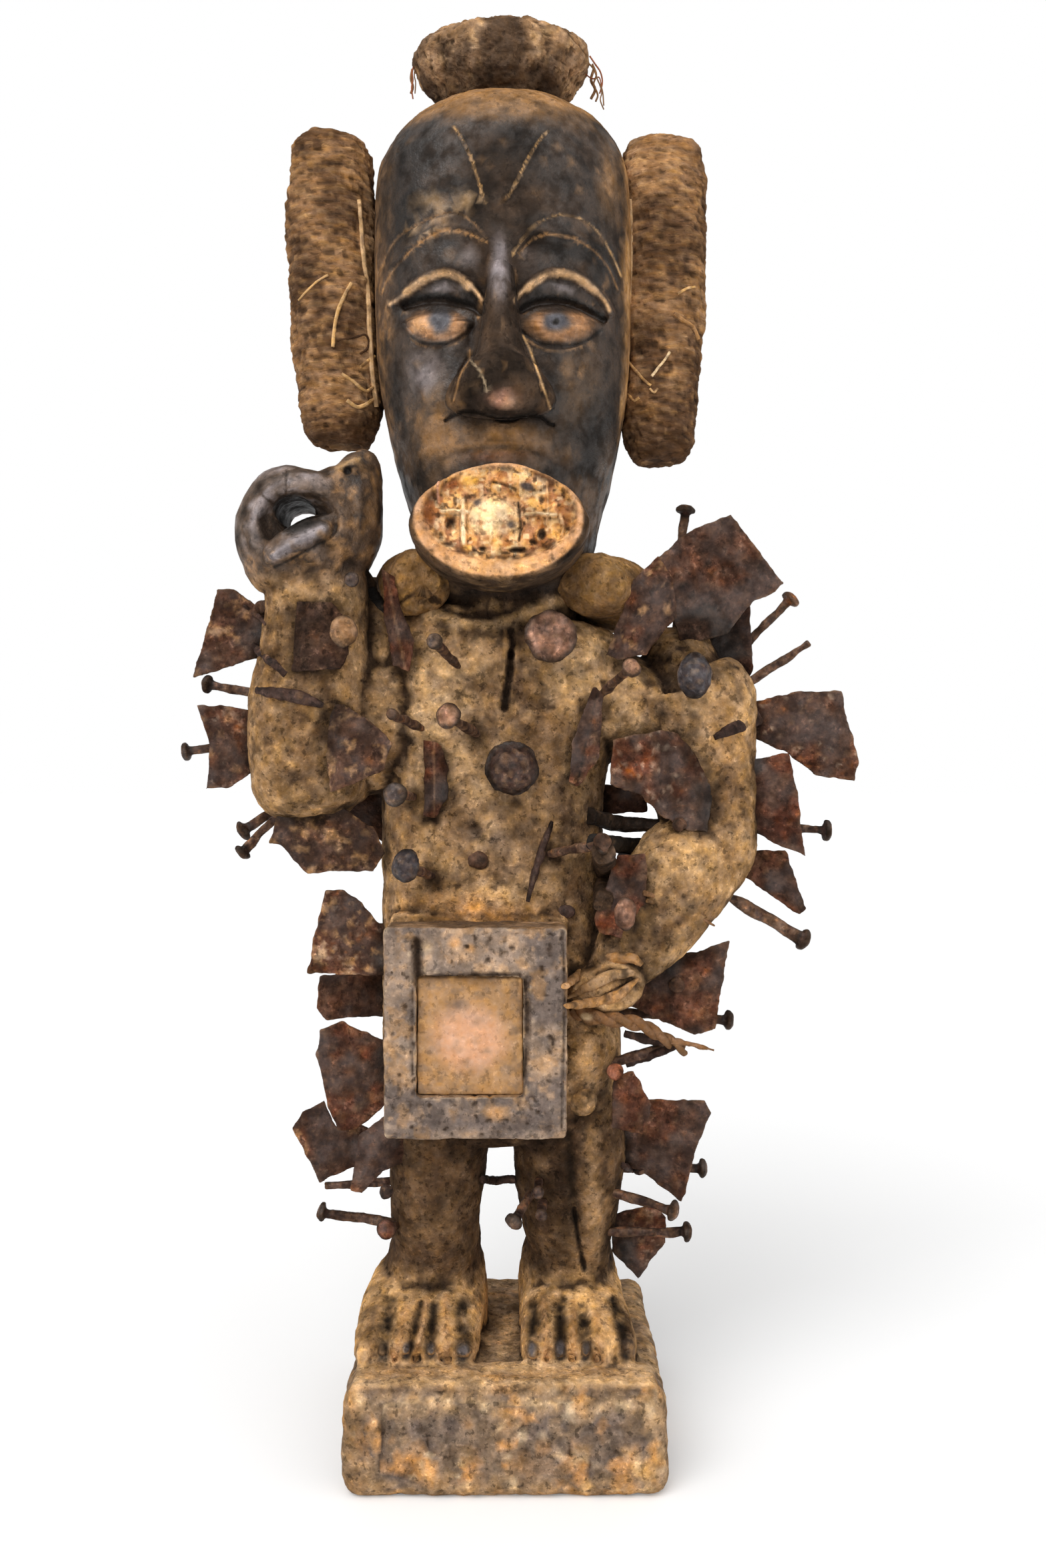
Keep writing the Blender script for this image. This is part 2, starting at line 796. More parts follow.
@dataclass
class CarvedFigure:
    """The figure with its base, carved from one block. Sizes are in millimetres."""

    finishes: Finishes
    grid: float = 1.35
    triangles: int = 194000
    head: tuple[Station, ...] = (
        (3, -30, 485, 10, 12, 2), (3, -28, 488, 30, 32, 2), (2, -22, 500, 44, 50, 2.1),
        (1, -12, 531, 53.5, 66, 2.2), (0, -6, 563, 63, 73, 2.3), (-1, -2, 611, 72.5, 78, 2.4),
        (-2, 0, 659, 75.5, 80, 2.4), (-2, 0, 719, 75.5, 80, 2.3), (-1.5, 0, 741, 73.5, 76, 2.2),
        (-1.5, 0, 756, 66.5, 68, 2.1), (-1.5, 0, 768, 57, 56, 2), (-1.5, 0, 777, 42, 39, 2),
        (-1.5, 0, 781, 16, 15, 2),
    )
    nose: tuple[Station, ...] = (
        (-2, -80, 660, 7, 8, 2), (-2, -83, 640, 9, 13, 1.9), (-2, -84, 610, 14, 19, 1.7),
        (-2, -86, 598, 25, 25, 1.7), (-2, -86, 588, 30, 24, 1.8), (-2, -83, 582.5, 28, 15, 2),
    )
    muzzle: tuple[Station, ...] = (
        (-3, -34, 521, 8, 6, 2), (-3, -38, 521, 44, 28, 2), (-3, -70, 521, 48.5, 32, 1.85),
        (-3, -88, 521, 48, 32, 1.8), (-3, -93, 521, 46, 30.4, 1.8), (-3, -94.2, 521, 44, 28.6, 1.8),
    )
    neck: tuple[Station, ...] = (
        (4, -6, 468, 38, 38, 2.2), (4, -6, 500, 36, 38, 2.2), (4, -6, 520, 34, 36, 2.2),
    )
    trunk: tuple[Station, ...] = (
        (-4, 4, 180, 40, 28, 2.6), (-4, 3, 187, 62, 42, 2.8), (-3, 2, 215, 70, 50, 3),
        (-4, 0, 260, 69, 53, 3.1), (-8, -1, 300, 65, 54, 3.2), (-8, -1, 340, 65, 53, 3.2),
        (-8, 0, 380, 65.5, 51, 3.2), (-4, 0, 430, 71, 49, 3.2), (0, 2, 462, 75, 47, 3),
        (2, 4, 478, 60, 40, 2.6), (3, 4, 486, 34, 28, 2.2),
    )
    raised_upper_arm: tuple[Station, ...] = (
        (-25, 2, 424, 42, 38, 2.4), (-60, -4, 424, 46, 38, 2.4), (-90, -16, 416, 42, 37, 2.4),
        (-118, -26, 408, 36, 33, 2.4),
    )
    raised_forearm: tuple[Station, ...] = (
        (-110, -28, 364, 20, 18, 2.2), (-111, -28, 374, 31, 30, 2.4),
        (-112, -28, 400, 35.5, 35, 2.5),
        (-111, -29, 430, 35.5, 35, 2.5), (-108, -33, 465, 31, 32, 2.3),
        (-107, -38, 490, 29, 29, 2.2),
        (-108, -40, 512, 28, 26, 2.2),
    )
    fist: tuple[Station, ...] = (
        (-110, -40, 496, 27, 26, 2.2), (-112, -40, 506, 36, 30, 2.2), (-113, -40, 525, 40, 32, 2.3),
        (-111, -40, 543, 35, 30, 2.2), (-109, -40, 554, 25, 22, 2.1), (-108, -40, 558, 11, 12, 2),
    )
    knuckle: tuple[Station, ...] = (
        (-100, -38, 494, 11, 17, 2.2), (-96, -38, 504, 15, 22, 2.2), (-89, -38, 522, 17.5, 25, 2.3),
        (-87, -38, 543, 17, 24, 2.3), (-83, -39, 559, 13, 17, 2.2), (-80, -40, 567, 9, 10, 2),
        (-79, -40, 571, 4, 5, 2),
    )
    hip_shoulder: tuple[Station, ...] = (
        (30, 2, 430, 36, 42, 2.4), (66, 1, 428, 33, 40, 2.4), (90, -1, 422, 26, 34, 2.2),
    )
    hip_upper_arm: tuple[Station, ...] = (
        (102, 0, 475, 12, 12, 2), (102, 0, 469, 18, 20, 2.2), (103, -1, 457, 22, 26, 2.3),
        (105, -1, 446, 26, 30, 2.4), (111, -2, 435, 34, 34, 2.8), (112, -3, 425, 35.5, 36, 2.7),
        (113.5, -4, 402, 34, 35, 2.6), (118, -7, 366, 29, 32, 2.5),
        (116, -12, 342, 29, 30, 2.4), (109, -16, 323, 22, 24, 2.2), (105, -18, 314, 10, 12, 2),
    )
    hip_forearm: tuple[Station, ...] = (
        (120, -8, 352, 22, 22, 2), (112, -16, 341, 29, 28, 2.2), (97, -27, 325, 31, 27, 2.2),
        (79, -40, 300, 26, 19, 2.2), (62, -48, 279, 17, 12, 2.2), (48, -50, 268, 9, 8, 2),
    )
    thumb: tuple[Station, ...] = (
        (-132, -63, 503.5, 2, 4, 2), (-125, -67, 508, 7.5, 8, 2.2), (-113, -69, 515, 9, 9, 2.3),
        (-103, -67, 522, 7.8, 8, 2.2), (-95, -63, 529, 2.4, 4, 2),
    )
    armpit: tuple[Station, ...] = (
        (-80, -22, 430, 20, 20, 2.2), (-78, -22, 460, 18, 18, 2.2), (-77, -22, 482, 13, 13, 2),
        (-77, -22, 495, 8, 8, 2), (-77, -22, 502, 4, 4, 2),
    )
    left_leg: tuple[Station, ...] = (
        (-43, 10, 52, 32, 34, 2.6), (-43, 8, 92, 30, 32, 2.4), (-42, 5, 109, 26, 30, 2.4),
        (-42, 2, 130, 26.5, 33, 2.5), (-40, 0, 165, 29, 37, 2.6), (-38, 0, 206, 31, 38, 2.6),
    )
    right_leg: tuple[Station, ...] = (
        (38, 10, 52, 30, 34, 2.6), (36.5, 8, 92, 28.5, 32, 2.4), (37.5, 5, 109, 25, 30, 2.4),
        (37, 2, 130, 29, 34, 2.5), (37, 0, 165, 33, 38, 2.6), (36, 0, 206, 32, 38, 2.6),
    )
    left_foot: tuple[Station, ...] = (
        (-44, 54, 70, 20, 12, 2.4), (-44, 46, 73, 29, 22, 2.6), (-46, 15, 76, 34, 27, 2.5),
        (-49, -12, 73, 36, 22, 2.6), (-51, -36, 67, 35, 15, 2.7), (-51, -48, 62, 34, 9, 2.6),
    )
    right_foot: tuple[Station, ...] = (
        (36, 54, 70, 20, 12, 2.4), (36, 46, 73, 28, 22, 2.6), (37, 15, 76, 30, 27, 2.5),
        (39, -12, 73, 31, 22, 2.6), (41, -36, 67, 32.5, 15, 2.7), (41, -48, 62, 32, 9, 2.6),
    )
    toes: tuple[Seen, ...] = (
        (-79, 7), (-68, 6.5), (-56, 6.5), (-42, 7.5), (-24, 9.5), (16, 8), (30, 7.5), (44.5, 7.5),
        (57, 6.5), (68, 6.5),
    )
    base_low: Place = (-87.5, -86.0, 0.0)
    base_high: Place = (87.5, 86.0, 57.0)

    face_marks: tuple[Mark, ...] = (
        # Eye hollows, then the eyes themselves
        Patch((655, 462), (82, 62), -6.0, edge=0.8),
        Patch((842, 462), (86, 62), -6.0, edge=0.8),
        Patch((655, 485), (58, 36), 5.8, edge=0.75, outline=Outline.ALMOND, fine=True),
        Patch((840, 485), (66, 38), 5.8, edge=0.75, outline=Outline.ALMOND, fine=True),
        # Rolls of the upper lids and the dark cuts under them
        Line(((588, 462), (600, 447), (614, 434), (632, 421), (650, 411), (668, 408), (686, 413),
              (702, 425), (716, 441), (723, 458)), 10.5, 6.0, None, 1.0, True),
        Line(((768, 452), (782, 437), (800, 421), (818, 412), (838, 409), (858, 413), (878, 424),
              (896, 438), (908, 453), (917, 472)), 10.5, 6.0, None, 1.0, True),
        Line(((606, 456), (630, 447), (650, 444), (668, 445), (690, 450), (708, 457), (722, 466)),
        8.5,
             -4.5, Tone.SOOT, 1.6, True),
        Line(((780, 463), (800, 451), (820, 446), (842, 446), (862, 452), (882, 463), (905, 478)),
        8.5,
             -4.5, Tone.SOOT, 1.6, True),
        Line(((610, 438), (632, 422), (650, 413), (668, 410), (686, 416), (702, 430)), 10, 0.0,
             Tone.LID, 1.3, True),
        Line(((584, 456), (598, 448), (614, 434), (632, 422), (668, 410), (700, 424), (722, 448)),
        5.5,
             0.0, Tone.LID, 1.0, True),
        Line(((792, 432), (804, 422), (820, 413), (838, 410), (858, 414), (878, 425), (892, 437)),
        10,
             0.0, Tone.LID, 1.3, True),
        Line(((772, 450), (786, 434), (804, 421), (838, 409), (878, 424), (904, 448), (914, 466)),
        5.5,
             0.0, Tone.LID, 1.0, True),
        # Lower lids
        Line(((603, 486), (616, 502), (630, 511), (655, 515), (676, 510), (694, 499), (708, 484)),
        5,
             1.8, Tone.SOOT, 0.8, True),
        Line(((616, 508), (630, 517), (655, 521), (680, 516), (696, 505)), 2.4, -0.6,
        Tone.WORN_OCHRE,
             0.7, True),
        Line(((780, 494), (800, 510), (815, 516), (840, 519), (862, 517), (880, 510), (900, 496)),
        4,
             -1.3, Tone.SOOT, 0.8, True),
        Line(((790, 510), (815, 523), (845, 526), (872, 519)), 3, 0.8, Tone.WORN_OCHRE, 0.6, True),
        # Brows: raised arcs with a cut under each
        Line(((568, 446), (574, 425), (590, 400), (613, 374), (645, 352), (668, 344), (699, 347),
              (731, 364)), 10, 2.2, None, 1.0, False),
        Line(((572, 441), (580, 420), (592, 402), (615, 376), (645, 354), (668, 346), (699, 349),
              (729, 363)), 2.9, -1.6, Tone.WORN_OCHRE, 0.95, True),
        Line(((568, 408), (584, 373), (604, 350), (648, 326), (680, 318), (706, 332), (728, 356)),
        2.9,
             -1.3, Tone.WORN_OCHRE, 0.7, True),
        Line(((770, 378), (790, 352), (812, 332), (838, 322), (861, 325), (882, 335), (901, 354),
              (919, 386), (931, 414)), 2.9, -1.4, Tone.BRIGHT_OCHRE, 0.85, True),
        Line(((773, 380), (800, 357), (827, 350), (853, 354), (878, 366), (900, 383), (916, 405),
              (928, 436)), 10, 2.0, None, 1.0, False),
        Line(((776, 380), (800, 358), (827, 351), (853, 355), (878, 367), (899, 384), (914, 405),
              (926, 434)), 2.9, -1.6, Tone.WORN_OCHRE, 0.85, True),
        # Scars on the brow
        Line(((680, 190), (690, 205), (704, 232), (715, 264), (727, 306)), 2.9, -1.6,
             Tone.BRIGHT_OCHRE, 1.2, True),
        Line(((822, 196), (808, 212), (792, 238), (776, 270), (759, 300)), 2.9, -1.6,
             Tone.BRIGHT_OCHRE, 1.2, True),
        # Nose: bridge, side grooves, wings and nostrils
        Patch((748, 420), (20, 90), 2.6, edge=0.8),
        Line(((716, 470), (706, 500), (704, 520)), 9, -2.2, Tone.UNDERSIDE, 0.6),
        Line(((703, 536), (691, 556), (684, 580), (679, 600)), 5, -1.8, Tone.UNDERSIDE, 0.6, True),
        Line(((778, 490), (790, 516), (800, 542), (808, 566), (816, 590), (826, 612)), 6, -1.6,
        None,
             1.0, True),
        Line(((784, 503), (793, 521), (800, 540), (807, 560), (814, 580), (821, 600), (825, 612)),
        3.4,
             0.7, Tone.BRIGHT_OCHRE, 0.9, True),
        Line(((721, 448), (719, 462), (717, 476)), 5, 0.4, Tone.WORN_OCHRE, 0.9, True),
        Line(((704, 520), (703, 538), (691, 560), (684, 585), (680, 600)), 3.2, 0.5,
        Tone.WORN_OCHRE,
             0.8, True),
        Line(((705, 540), (716, 552), (724, 566), (731, 588)), 2.4, 0.5, Tone.FLAKE_PALE, 0.6,
        True),
        Line(((668, 630), (680, 622), (695, 617), (712, 617), (728, 621), (745, 625), (765, 626),
              (785, 623), (800, 621), (812, 625), (822, 634), (830, 637)), 4.5, -2.5, Tone.SOOT,
              1.3,
             True),
        Patch((758, 628), (24, 7), -3.0, Tone.SOOT, 1.1, edge=0.6, fine=True),
        # Cheeks and the fold above the mouth
        Patch((612, 610), (30, 70), -2.5, edge=0.9),
        Patch((880, 640), (34, 70), -2.5, edge=0.9),
        Line(((640, 700), (670, 684), (705, 674), (740, 669), (785, 672), (826, 690)), 8, -1.2,
             Tone.UNDERSIDE, 0.35),
    )
    mouth_marks: tuple[Mark, ...] = (
        Patch((749, 769), (123, 75), -5.0, edge=0.14, fine=True),
        Patch((752, 716), (82, 26), 4.4, edge=0.8, fine=True),
        Patch((738, 775), (46, 38), 3.8, edge=0.35, fine=True),
        Patch((795, 785), (24, 40), 3.0, edge=0.4, fine=True),
        Patch((742, 820), (70, 22), 3.0, edge=0.6, fine=True),
        Line(((657, 716), (656, 735), (658, 753)), 4.0, 2.6, Tone.PINK_TIP, 0.9, True),
        Line(((661, 765), (680, 764), (700, 766)), 3.6, 4.6, Tone.CREAM, 1.3, True),
        Line(((694, 750), (694, 772), (694, 794), (695, 814)), 5.6, 4.6, Tone.CREAM, 1.3, True),
        Line(((665, 776), (664, 790), (668, 804)), 3.4, 1.6, Tone.PEACH, 0.9, True),
        Line(((734, 703), (733, 736)), 3.4, 1.4, Tone.PEACH, 0.6, True),
        Line(((737, 786), (735, 812)), 3.4, 1.2, Tone.CREAM, 0.6, True),
        Line(((820, 722), (821, 745), (821, 784)), 2.8, 2.6, Tone.PEACH, 0.9, True),
        Line(((788, 770), (810, 769), (834, 771)), 3.4, 3.6, Tone.CREAM, 1.2, True),
        Line(((840, 770), (845, 786), (842, 802)), 3.6, 2.6, Tone.PEACH, 0.8, True),
        Line(((777, 753), (779, 770), (781, 790), (778, 809)), 3.0, -3.0, Tone.MOUTH_HOLE, 1.0,
        True),
        Line(((739, 722), (756, 726), (773, 733)), 3.6, -1.6, Tone.SOOT, 0.7, True),
        Patch((676, 783), (11, 14), -2.0, Tone.UNDERSIDE, 1.0, 0, 0.9, Outline.BLOCK, True),
        Patch((812, 800), (8, 10), -3.6, Tone.MOUTH_HOLE, 1.6, 10, 0.6, fine=True),
        Patch((679, 727), (12, 8), -1.6, Tone.MOUTH_BROWN, 1.3, -20, 0.7, fine=True),
        Patch((790, 729), (15, 8), -1.6, Tone.FRAME_DARK, 1.3, 20, 0.7, fine=True),
        Patch((716, 754), (9, 8), -1.2, Tone.FRAME_DARK, 0.9, 0, 0.7, fine=True),
        Patch((767, 786), (10, 8), -1.2, Tone.FRAME_DARK, 0.9, 0, 0.7, fine=True),
        Patch((776, 824), (20, 6), -2.4, Tone.SOOT, 0.9, 0, 0.7, fine=True),
        Patch((723, 822), (8, 5), -2.2, Tone.UNDERSIDE, 0.9, 0, 0.7, fine=True),
        Patch((704, 720), (17, 11), 0.8, Tone.GOLD, 1.1, 0, 0.7, fine=True),
        Patch((799, 753), (13, 10), 1.0, Tone.GOLD, 1.2, 0, 0.7, fine=True),
        Patch((746, 815), (13, 20), 0.6, Tone.GOLD, 0.8, 0, 0.8, fine=True),
        Patch((700, 820), (9, 6), 0.4, Tone.GOLD, 0.9, 0, 0.8, fine=True),
        Patch((643, 770), (14, 32), 0.0, Tone.MOUTH_BROWN, 0.9, 0, 0.8, fine=True),
        Patch((852, 775), (12, 26), 0.0, Tone.MOUTH_BROWN, 0.6, 0, 0.9, fine=True),
        Patch((800, 812), (9, 5), -2.0, Tone.UNDERSIDE, 0.9, 20, 0.7, fine=True),
        Patch((812, 748), (6, 7), -2.0, Tone.UNDERSIDE, 0.8, 0, 0.7, fine=True),
    )
    trunk_marks: tuple[Mark, ...] = (
        Line(((606, 896), (640, 914), (686, 932), (728, 936), (770, 927), (800, 914), (860, 892)),
        16,
             1.6, Tone.SAND, 0.7),
        Line(((612, 890), (650, 905), (690, 921), (728, 925), (770, 916)), 8, -1.2, Tone.UNDERSIDE,
        0.5),
        Line(((766, 946), (768, 966), (765, 984)), 6, -3.0, Tone.UNDERSIDE, 0.8, True),
        Line(((765, 980), (764, 1004), (759, 1034), (756, 1060)), 10, -4.5, Tone.SOOT, 0.65, True),
        Line(((778, 950), (780, 990), (772, 1040)), 14, -0.8, Tone.LEG_DARK, 0.5),
        Line(((757, 946), (759, 985), (752, 1040)), 5, 1.0, Tone.EARTH, 0.4),
        Line(((648, 1236), (649, 1284)), 2.4, -0.8, Tone.BRIGHT_OCHRE, 0.5, True),
        Patch((720, 1293), (15, 12), -4.0, Tone.SOOT, 0.9, 10, 0.7, fine=True),
        Patch((706, 1362), (150, 40), 1.2, Tone.FLAKE_ORANGE, 0.6, 0, 0.9),
        Patch((815, 1095), (60, 130), -1.8, Tone.EARTH, 0.5, 0, 1.0),
        Patch((640, 1160), (60, 60), 1.2, Tone.SAND, 0.5, 0, 1.0),
        Patch((655, 1010), (60, 50), 0.8, Tone.SAND, 0.45, 0, 1.0),
        Patch((860, 960), (50, 60), 0.0, Tone.DUN, 0.4, 0, 1.0),
        Patch((880, 1330), (50, 60), -1.0, Tone.EARTH, 0.6, 0, 1.0),
        Patch((880, 1590), (44, 60), 2.0, Tone.DUN, 0.4, 0, 1.0),
    )
    leg_marks: tuple[Mark, ...] = (
        Patch((620, 1800), (60, 110), 0.0, Tone.LEG_DARK, 0.45, 0, 1.0),
        Patch((700, 1760), (34, 110), 0.0, Tone.LEG_DARK, 0.7, 0, 1.0),
        Patch((808, 1790), (50, 130), -1.5, Tone.LEG_DARK, 0.85, 0, 0.8),
        Line(((851, 1700), (857, 1770), (862, 1826)), 13, -2.6, Tone.SOOT, 0.75, True),
        Line(((861, 1815), (867, 1860), (876, 1902)), 6, -2.4, Tone.SOOT, 0.8, True),
        Line(((836, 1704), (842, 1780), (850, 1850)), 16, -0.8, Tone.UNDERSIDE, 0.6),
        Line(((885, 1700), (890, 1800), (897, 1880)), 22, 1.4, Tone.DUN, 0.6),
    )
    foot_marks: tuple[Mark, ...] = (
        # Dark furrows between the toes' ridges, and the nails
        Line(((650, 1958), (647, 2000), (646, 2034)), 15, -3.0, Tone.SOOT, 0.9, True),
        Line(((694, 1958), (694, 2000), (694, 2040)), 20, -3.0, Tone.SOOT, 0.9, True),
        Line(((632, 1956), (620, 2000), (609, 2034)), 11, -3.0, Tone.SOOT, 0.9, True),
        Line(((586, 1950), (578, 1995), (573, 2034)), 18, -3.0, Tone.SOOT, 0.9, True),
        Line(((800, 1958), (799, 2000), (798, 2040)), 15, -3.0, Tone.SOOT, 0.9, True),
        Line(((840, 1952), (840, 2000), (840, 2042)), 16, -3.0, Tone.SOOT, 0.9, True),
        Line(((872, 1962), (877, 2000), (878, 2042)), 15, -3.0, Tone.SOOT, 0.9, True),
        Line(((918, 1950), (932, 1990), (938, 2034)), 15, -3.0, Tone.SOOT, 0.9, True),
        Line(((640, 1948), (630, 1995), (620, 2040)), 8, 1.6, Tone.WORN_OCHRE, 0.9, True),
        Line(((668, 1944), (669, 1990), (670, 2042)), 9, 1.6, Tone.WORN_OCHRE, 0.9, True),
        Line(((610, 1960), (600, 2000), (590, 2040)), 8, 1.4, Tone.WORN_OCHRE, 0.8, True),
        Line(((816, 1946), (818, 1995), (818, 2046)), 9, 1.8, Tone.WORN_OCHRE, 0.9, True),
        Line(((860, 1952), (859, 2000), (859, 2046)), 9, 1.8, Tone.WORN_OCHRE, 0.9, True),
        Line(((893, 1970), (900, 2005), (902, 2044)), 9, 1.6, Tone.WORN_OCHRE, 0.85, True),
        Patch((694, 2024), (13, 15), 3.6, Tone.NAIL_GREY, 1.0, 0, 0.6, fine=True),
        Patch((646, 2023), (9, 13), 3.2, Tone.NAIL_GREY, 0.9, 0, 0.6, fine=True),
        Patch((609, 2022), (8, 13), 2.8, Tone.NAIL_GREY, 0.8, 0, 0.6, fine=True),
        Patch((573, 2024), (8, 12), 1.8, Tone.LEG_DARK, 0.6, 0, 0.6, fine=True),
        Patch((798, 2024), (9, 17), 3.4, Tone.NAIL_GREY, 1.0, 0, 0.6, fine=True),
        Patch((840, 2022), (10, 18), 3.4, Tone.NAIL_GREY, 1.0, 0, 0.6, fine=True),
        Patch((878, 2022), (9, 18), 3.4, Tone.NAIL_GREY, 1.0, 0, 0.6, fine=True),
        Patch((938, 2016), (8, 13), 1.8, Tone.LEG_DARK, 0.6, 0, 0.6, fine=True),
        # The ridge in front of the toes and the cut under it
        Line(((545, 2060), (640, 2056), (750, 2062), (850, 2056), (950, 2060)), 12, 0.6,
             Tone.FLAKE_ORANGE, 0.6),
        Line(((540, 2084), (640, 2080), (740, 2084), (850, 2078), (980, 2086)), 9, -0.5,
             Tone.EARTH, 0.5),
    )
    base_marks: tuple[Mark, ...] = (
        Patch((530, 2160), (26, 90), -0.8, Tone.EARTH, 0.7, 0, 0.8),
        Line(((572, 2106), (574, 2150), (568, 2200)), 6, -0.6, Tone.UNDERSIDE, 0.5),
        Patch((560, 2150), (12, 40), 0.4, Tone.FLAKE_ORANGE, 0.8, -8, 0.6),
        Patch((622, 2180), (22, 26), 0.4, Tone.FLAKE_ORANGE, 0.65, 12, 0.8),
        Patch((640, 2215), (34, 18), 0.4, Tone.FLAKE_ORANGE, 0.6, 20, 0.8),
        Patch((535, 2225), (22, 14), 0.4, Tone.FLAKE_ORANGE, 0.6, 0, 0.8),
        Patch((902, 2140), (10, 26), 0.3, Tone.FLAKE_ORANGE, 0.6, 24, 0.8),
        Patch((944, 2190), (18, 44), 0.4, Tone.FLAKE_ORANGE, 0.6, 20, 0.8),
        Patch((966, 2206), (22, 20), 0.4, Tone.GOLD, 0.7, 0, 0.7),
        Patch((880, 2228), (14, 16), 0.4, Tone.GOLD, 0.7, 0, 0.7),
        Patch((975, 2110), (14, 22), 0.3, Tone.FLAKE_PALE, 0.5, 0, 0.8),
        Patch((712, 2200), (18, 50), 0.2, Tone.FLAKE_ORANGE, 0.35, 6, 0.9),
        Patch((760, 2130), (22, 40), 0.2, Tone.FLAKE_ORANGE, 0.3, 0, 0.9),
        Patch((800, 2200), (50, 24), 0.2, Tone.FLAKE_ORANGE, 0.28, 0, 0.9),
        Patch((620, 2130), (60, 40), 0.0, Tone.FRAME_DARK, 0.5, 0, 0.9),
        Patch((850, 2160), (80, 40), 0.0, Tone.FRAME_DARK, 0.3, 0, 0.9),
        Line(((575, 2106), (650, 2100), (760, 2104), (860, 2102)), 3, 0.6, Tone.FLAKE_PALE, 0.4),
    )
    zones: tuple[Mark, ...] = (
        # Broad places where the crust is darker, redder or paler
        Patch((440, 1010), (125, 170), 0, Tone.EARTH, 0.8, 0, 0.7),
        Patch((480, 930), (80, 70), 0, Tone.LEG_DARK, 0.7, 0, 0.8),
        Patch((400, 1140), (80, 110), 0, Tone.EARTH, 0.8, 0, 0.8),
        Patch((470, 1190), (120, 60), 0, Tone.LEG_DARK, 0.8, 0, 0.8),
        Patch((540, 1040), (70, 80), 0, Tone.DUN, 0.5, 0, 0.9),
        Patch((562, 900), (62, 74), 0, Tone.UNDERSIDE, 0.9, 0, 0.7),
        Patch((560, 1150), (70, 80), 0, Tone.EARTH, 0.6, 0, 0.9),
        Patch((755, 900), (92, 34), 0, Tone.UNDERSIDE, 0.9, 0, 0.6),
        Patch((655, 1060), (95, 140), 0, Tone.SAND, 0.9, 0, 0.8),
        Patch((850, 1000), (60, 90), 0, Tone.SAND, 0.6, 0, 0.9),
        Patch((700, 1160), (70, 70), 0, Tone.SAND, 0.4, 0, 1.0),
        Patch((596, 1300), (44, 120), 0, Tone.EARTH, 0.7, 0, 0.8),
        Patch((740, 1262), (110, 90), 0, Tone.EARTH, 0.8, 0, 0.7),
        Patch((735, 1250), (70, 60), 0, Tone.FRAME_DARK, 0.6, 0, 0.9),
        Patch((830, 1160), (110, 150), 0, Tone.EARTH, 0.45, 0, 0.8),
        Patch((885, 1260), (84, 170), 0, Tone.LEG_DARK, 0.9, 0, 0.6),
        Patch((870, 1000), (70, 80), 0, Tone.SAND, 0.6, 0, 0.9),
        Patch((775, 1030), (50, 110), 0, Tone.LEG_DARK, 0.6, 0, 0.9),
        Patch((880, 915), (44, 16), 0, Tone.SOOT, 0.8, 0, 0.8),
        Patch((725, 1374), (170, 17), 0, Tone.FLAKE_ORANGE, 0.6, 0, 0.7),
        Patch((1040, 985), (100, 60), 0, Tone.LEG_DARK, 0.9, 0, 0.6),
        Patch((1090, 1110), (60, 130), 0, Tone.WORN_OCHRE, 0.7, 0, 0.8),
        Patch((1005, 1130), (70, 150), 0, Tone.LEG_DARK, 0.85, 0, 0.7),
        Patch((1065, 1295), (80, 74), 0, Tone.BRIGHT_OCHRE, 0.55, 0, 0.8),
        Patch((960, 1385), (84, 74), 0, Tone.LEG_DARK, 0.9, 0, 0.6),
        Patch((1040, 1388), (50, 40), 0, Tone.EARTH, 0.7, -30, 0.8),
        Patch((890, 1460), (80, 50), 0, Tone.EARTH, 0.5, 0, 0.8),
        Patch((890, 1575), (66, 54), 6.0, Tone.WORN_OCHRE, 0.6, 0, 0.8),
        Patch((890, 1690), (80, 80), 0, Tone.LEG_DARK, 0.85, 0, 0.6),
        Patch((660, 1810), (130, 170), 0, Tone.LEG_DARK, 0.75, 0, 0.3),
        Patch((636, 1770), (30, 100), 1.0, Tone.EARTH, 0.7, 0, 0.9),
        Patch((815, 1800), (52, 190), 0, Tone.UNDERSIDE, 0.75, 0, 0.5),
        Patch((890, 1810), (36, 150), 0, Tone.EARTH, 0.5, 0, 0.8),
        Patch((640, 1926), (110, 34), 0, Tone.BRIGHT_OCHRE, 0.6, 0, 0.9),
        Patch((860, 1926), (96, 34), 0, Tone.BRIGHT_OCHRE, 0.5, 0, 0.9),
        Patch((640, 2000), (100, 44), 0, Tone.EARTH, 0.35, 0, 0.8),
        Patch((862, 2000), (90, 44), 0, Tone.EARTH, 0.35, 0, 0.8),
        Patch((556, 1985), (30, 80), 0, Tone.LEG_DARK, 0.85, 12, 0.8),
        Patch((944, 1990), (28, 70), 0, Tone.LEG_DARK, 0.85, -8, 0.8),
        Patch((750, 2015), (46, 60), 0, Tone.SAND, 0.7, 0, 0.8),
        Patch((748, 2056), (240, 17), 0, Tone.BRIGHT_OCHRE, 0.7, 0, 0.7),
        Patch((748, 2083), (260, 12), 0, Tone.EARTH, 0.5, 0, 0.8),
        Patch((645, 2128), (100, 50), 0, Tone.FRAME_DARK, 0.7, 0, 0.8),
        Patch((860, 2150), (80, 70), 0, Tone.FRAME_DARK, 0.4, 0, 0.9),
    )
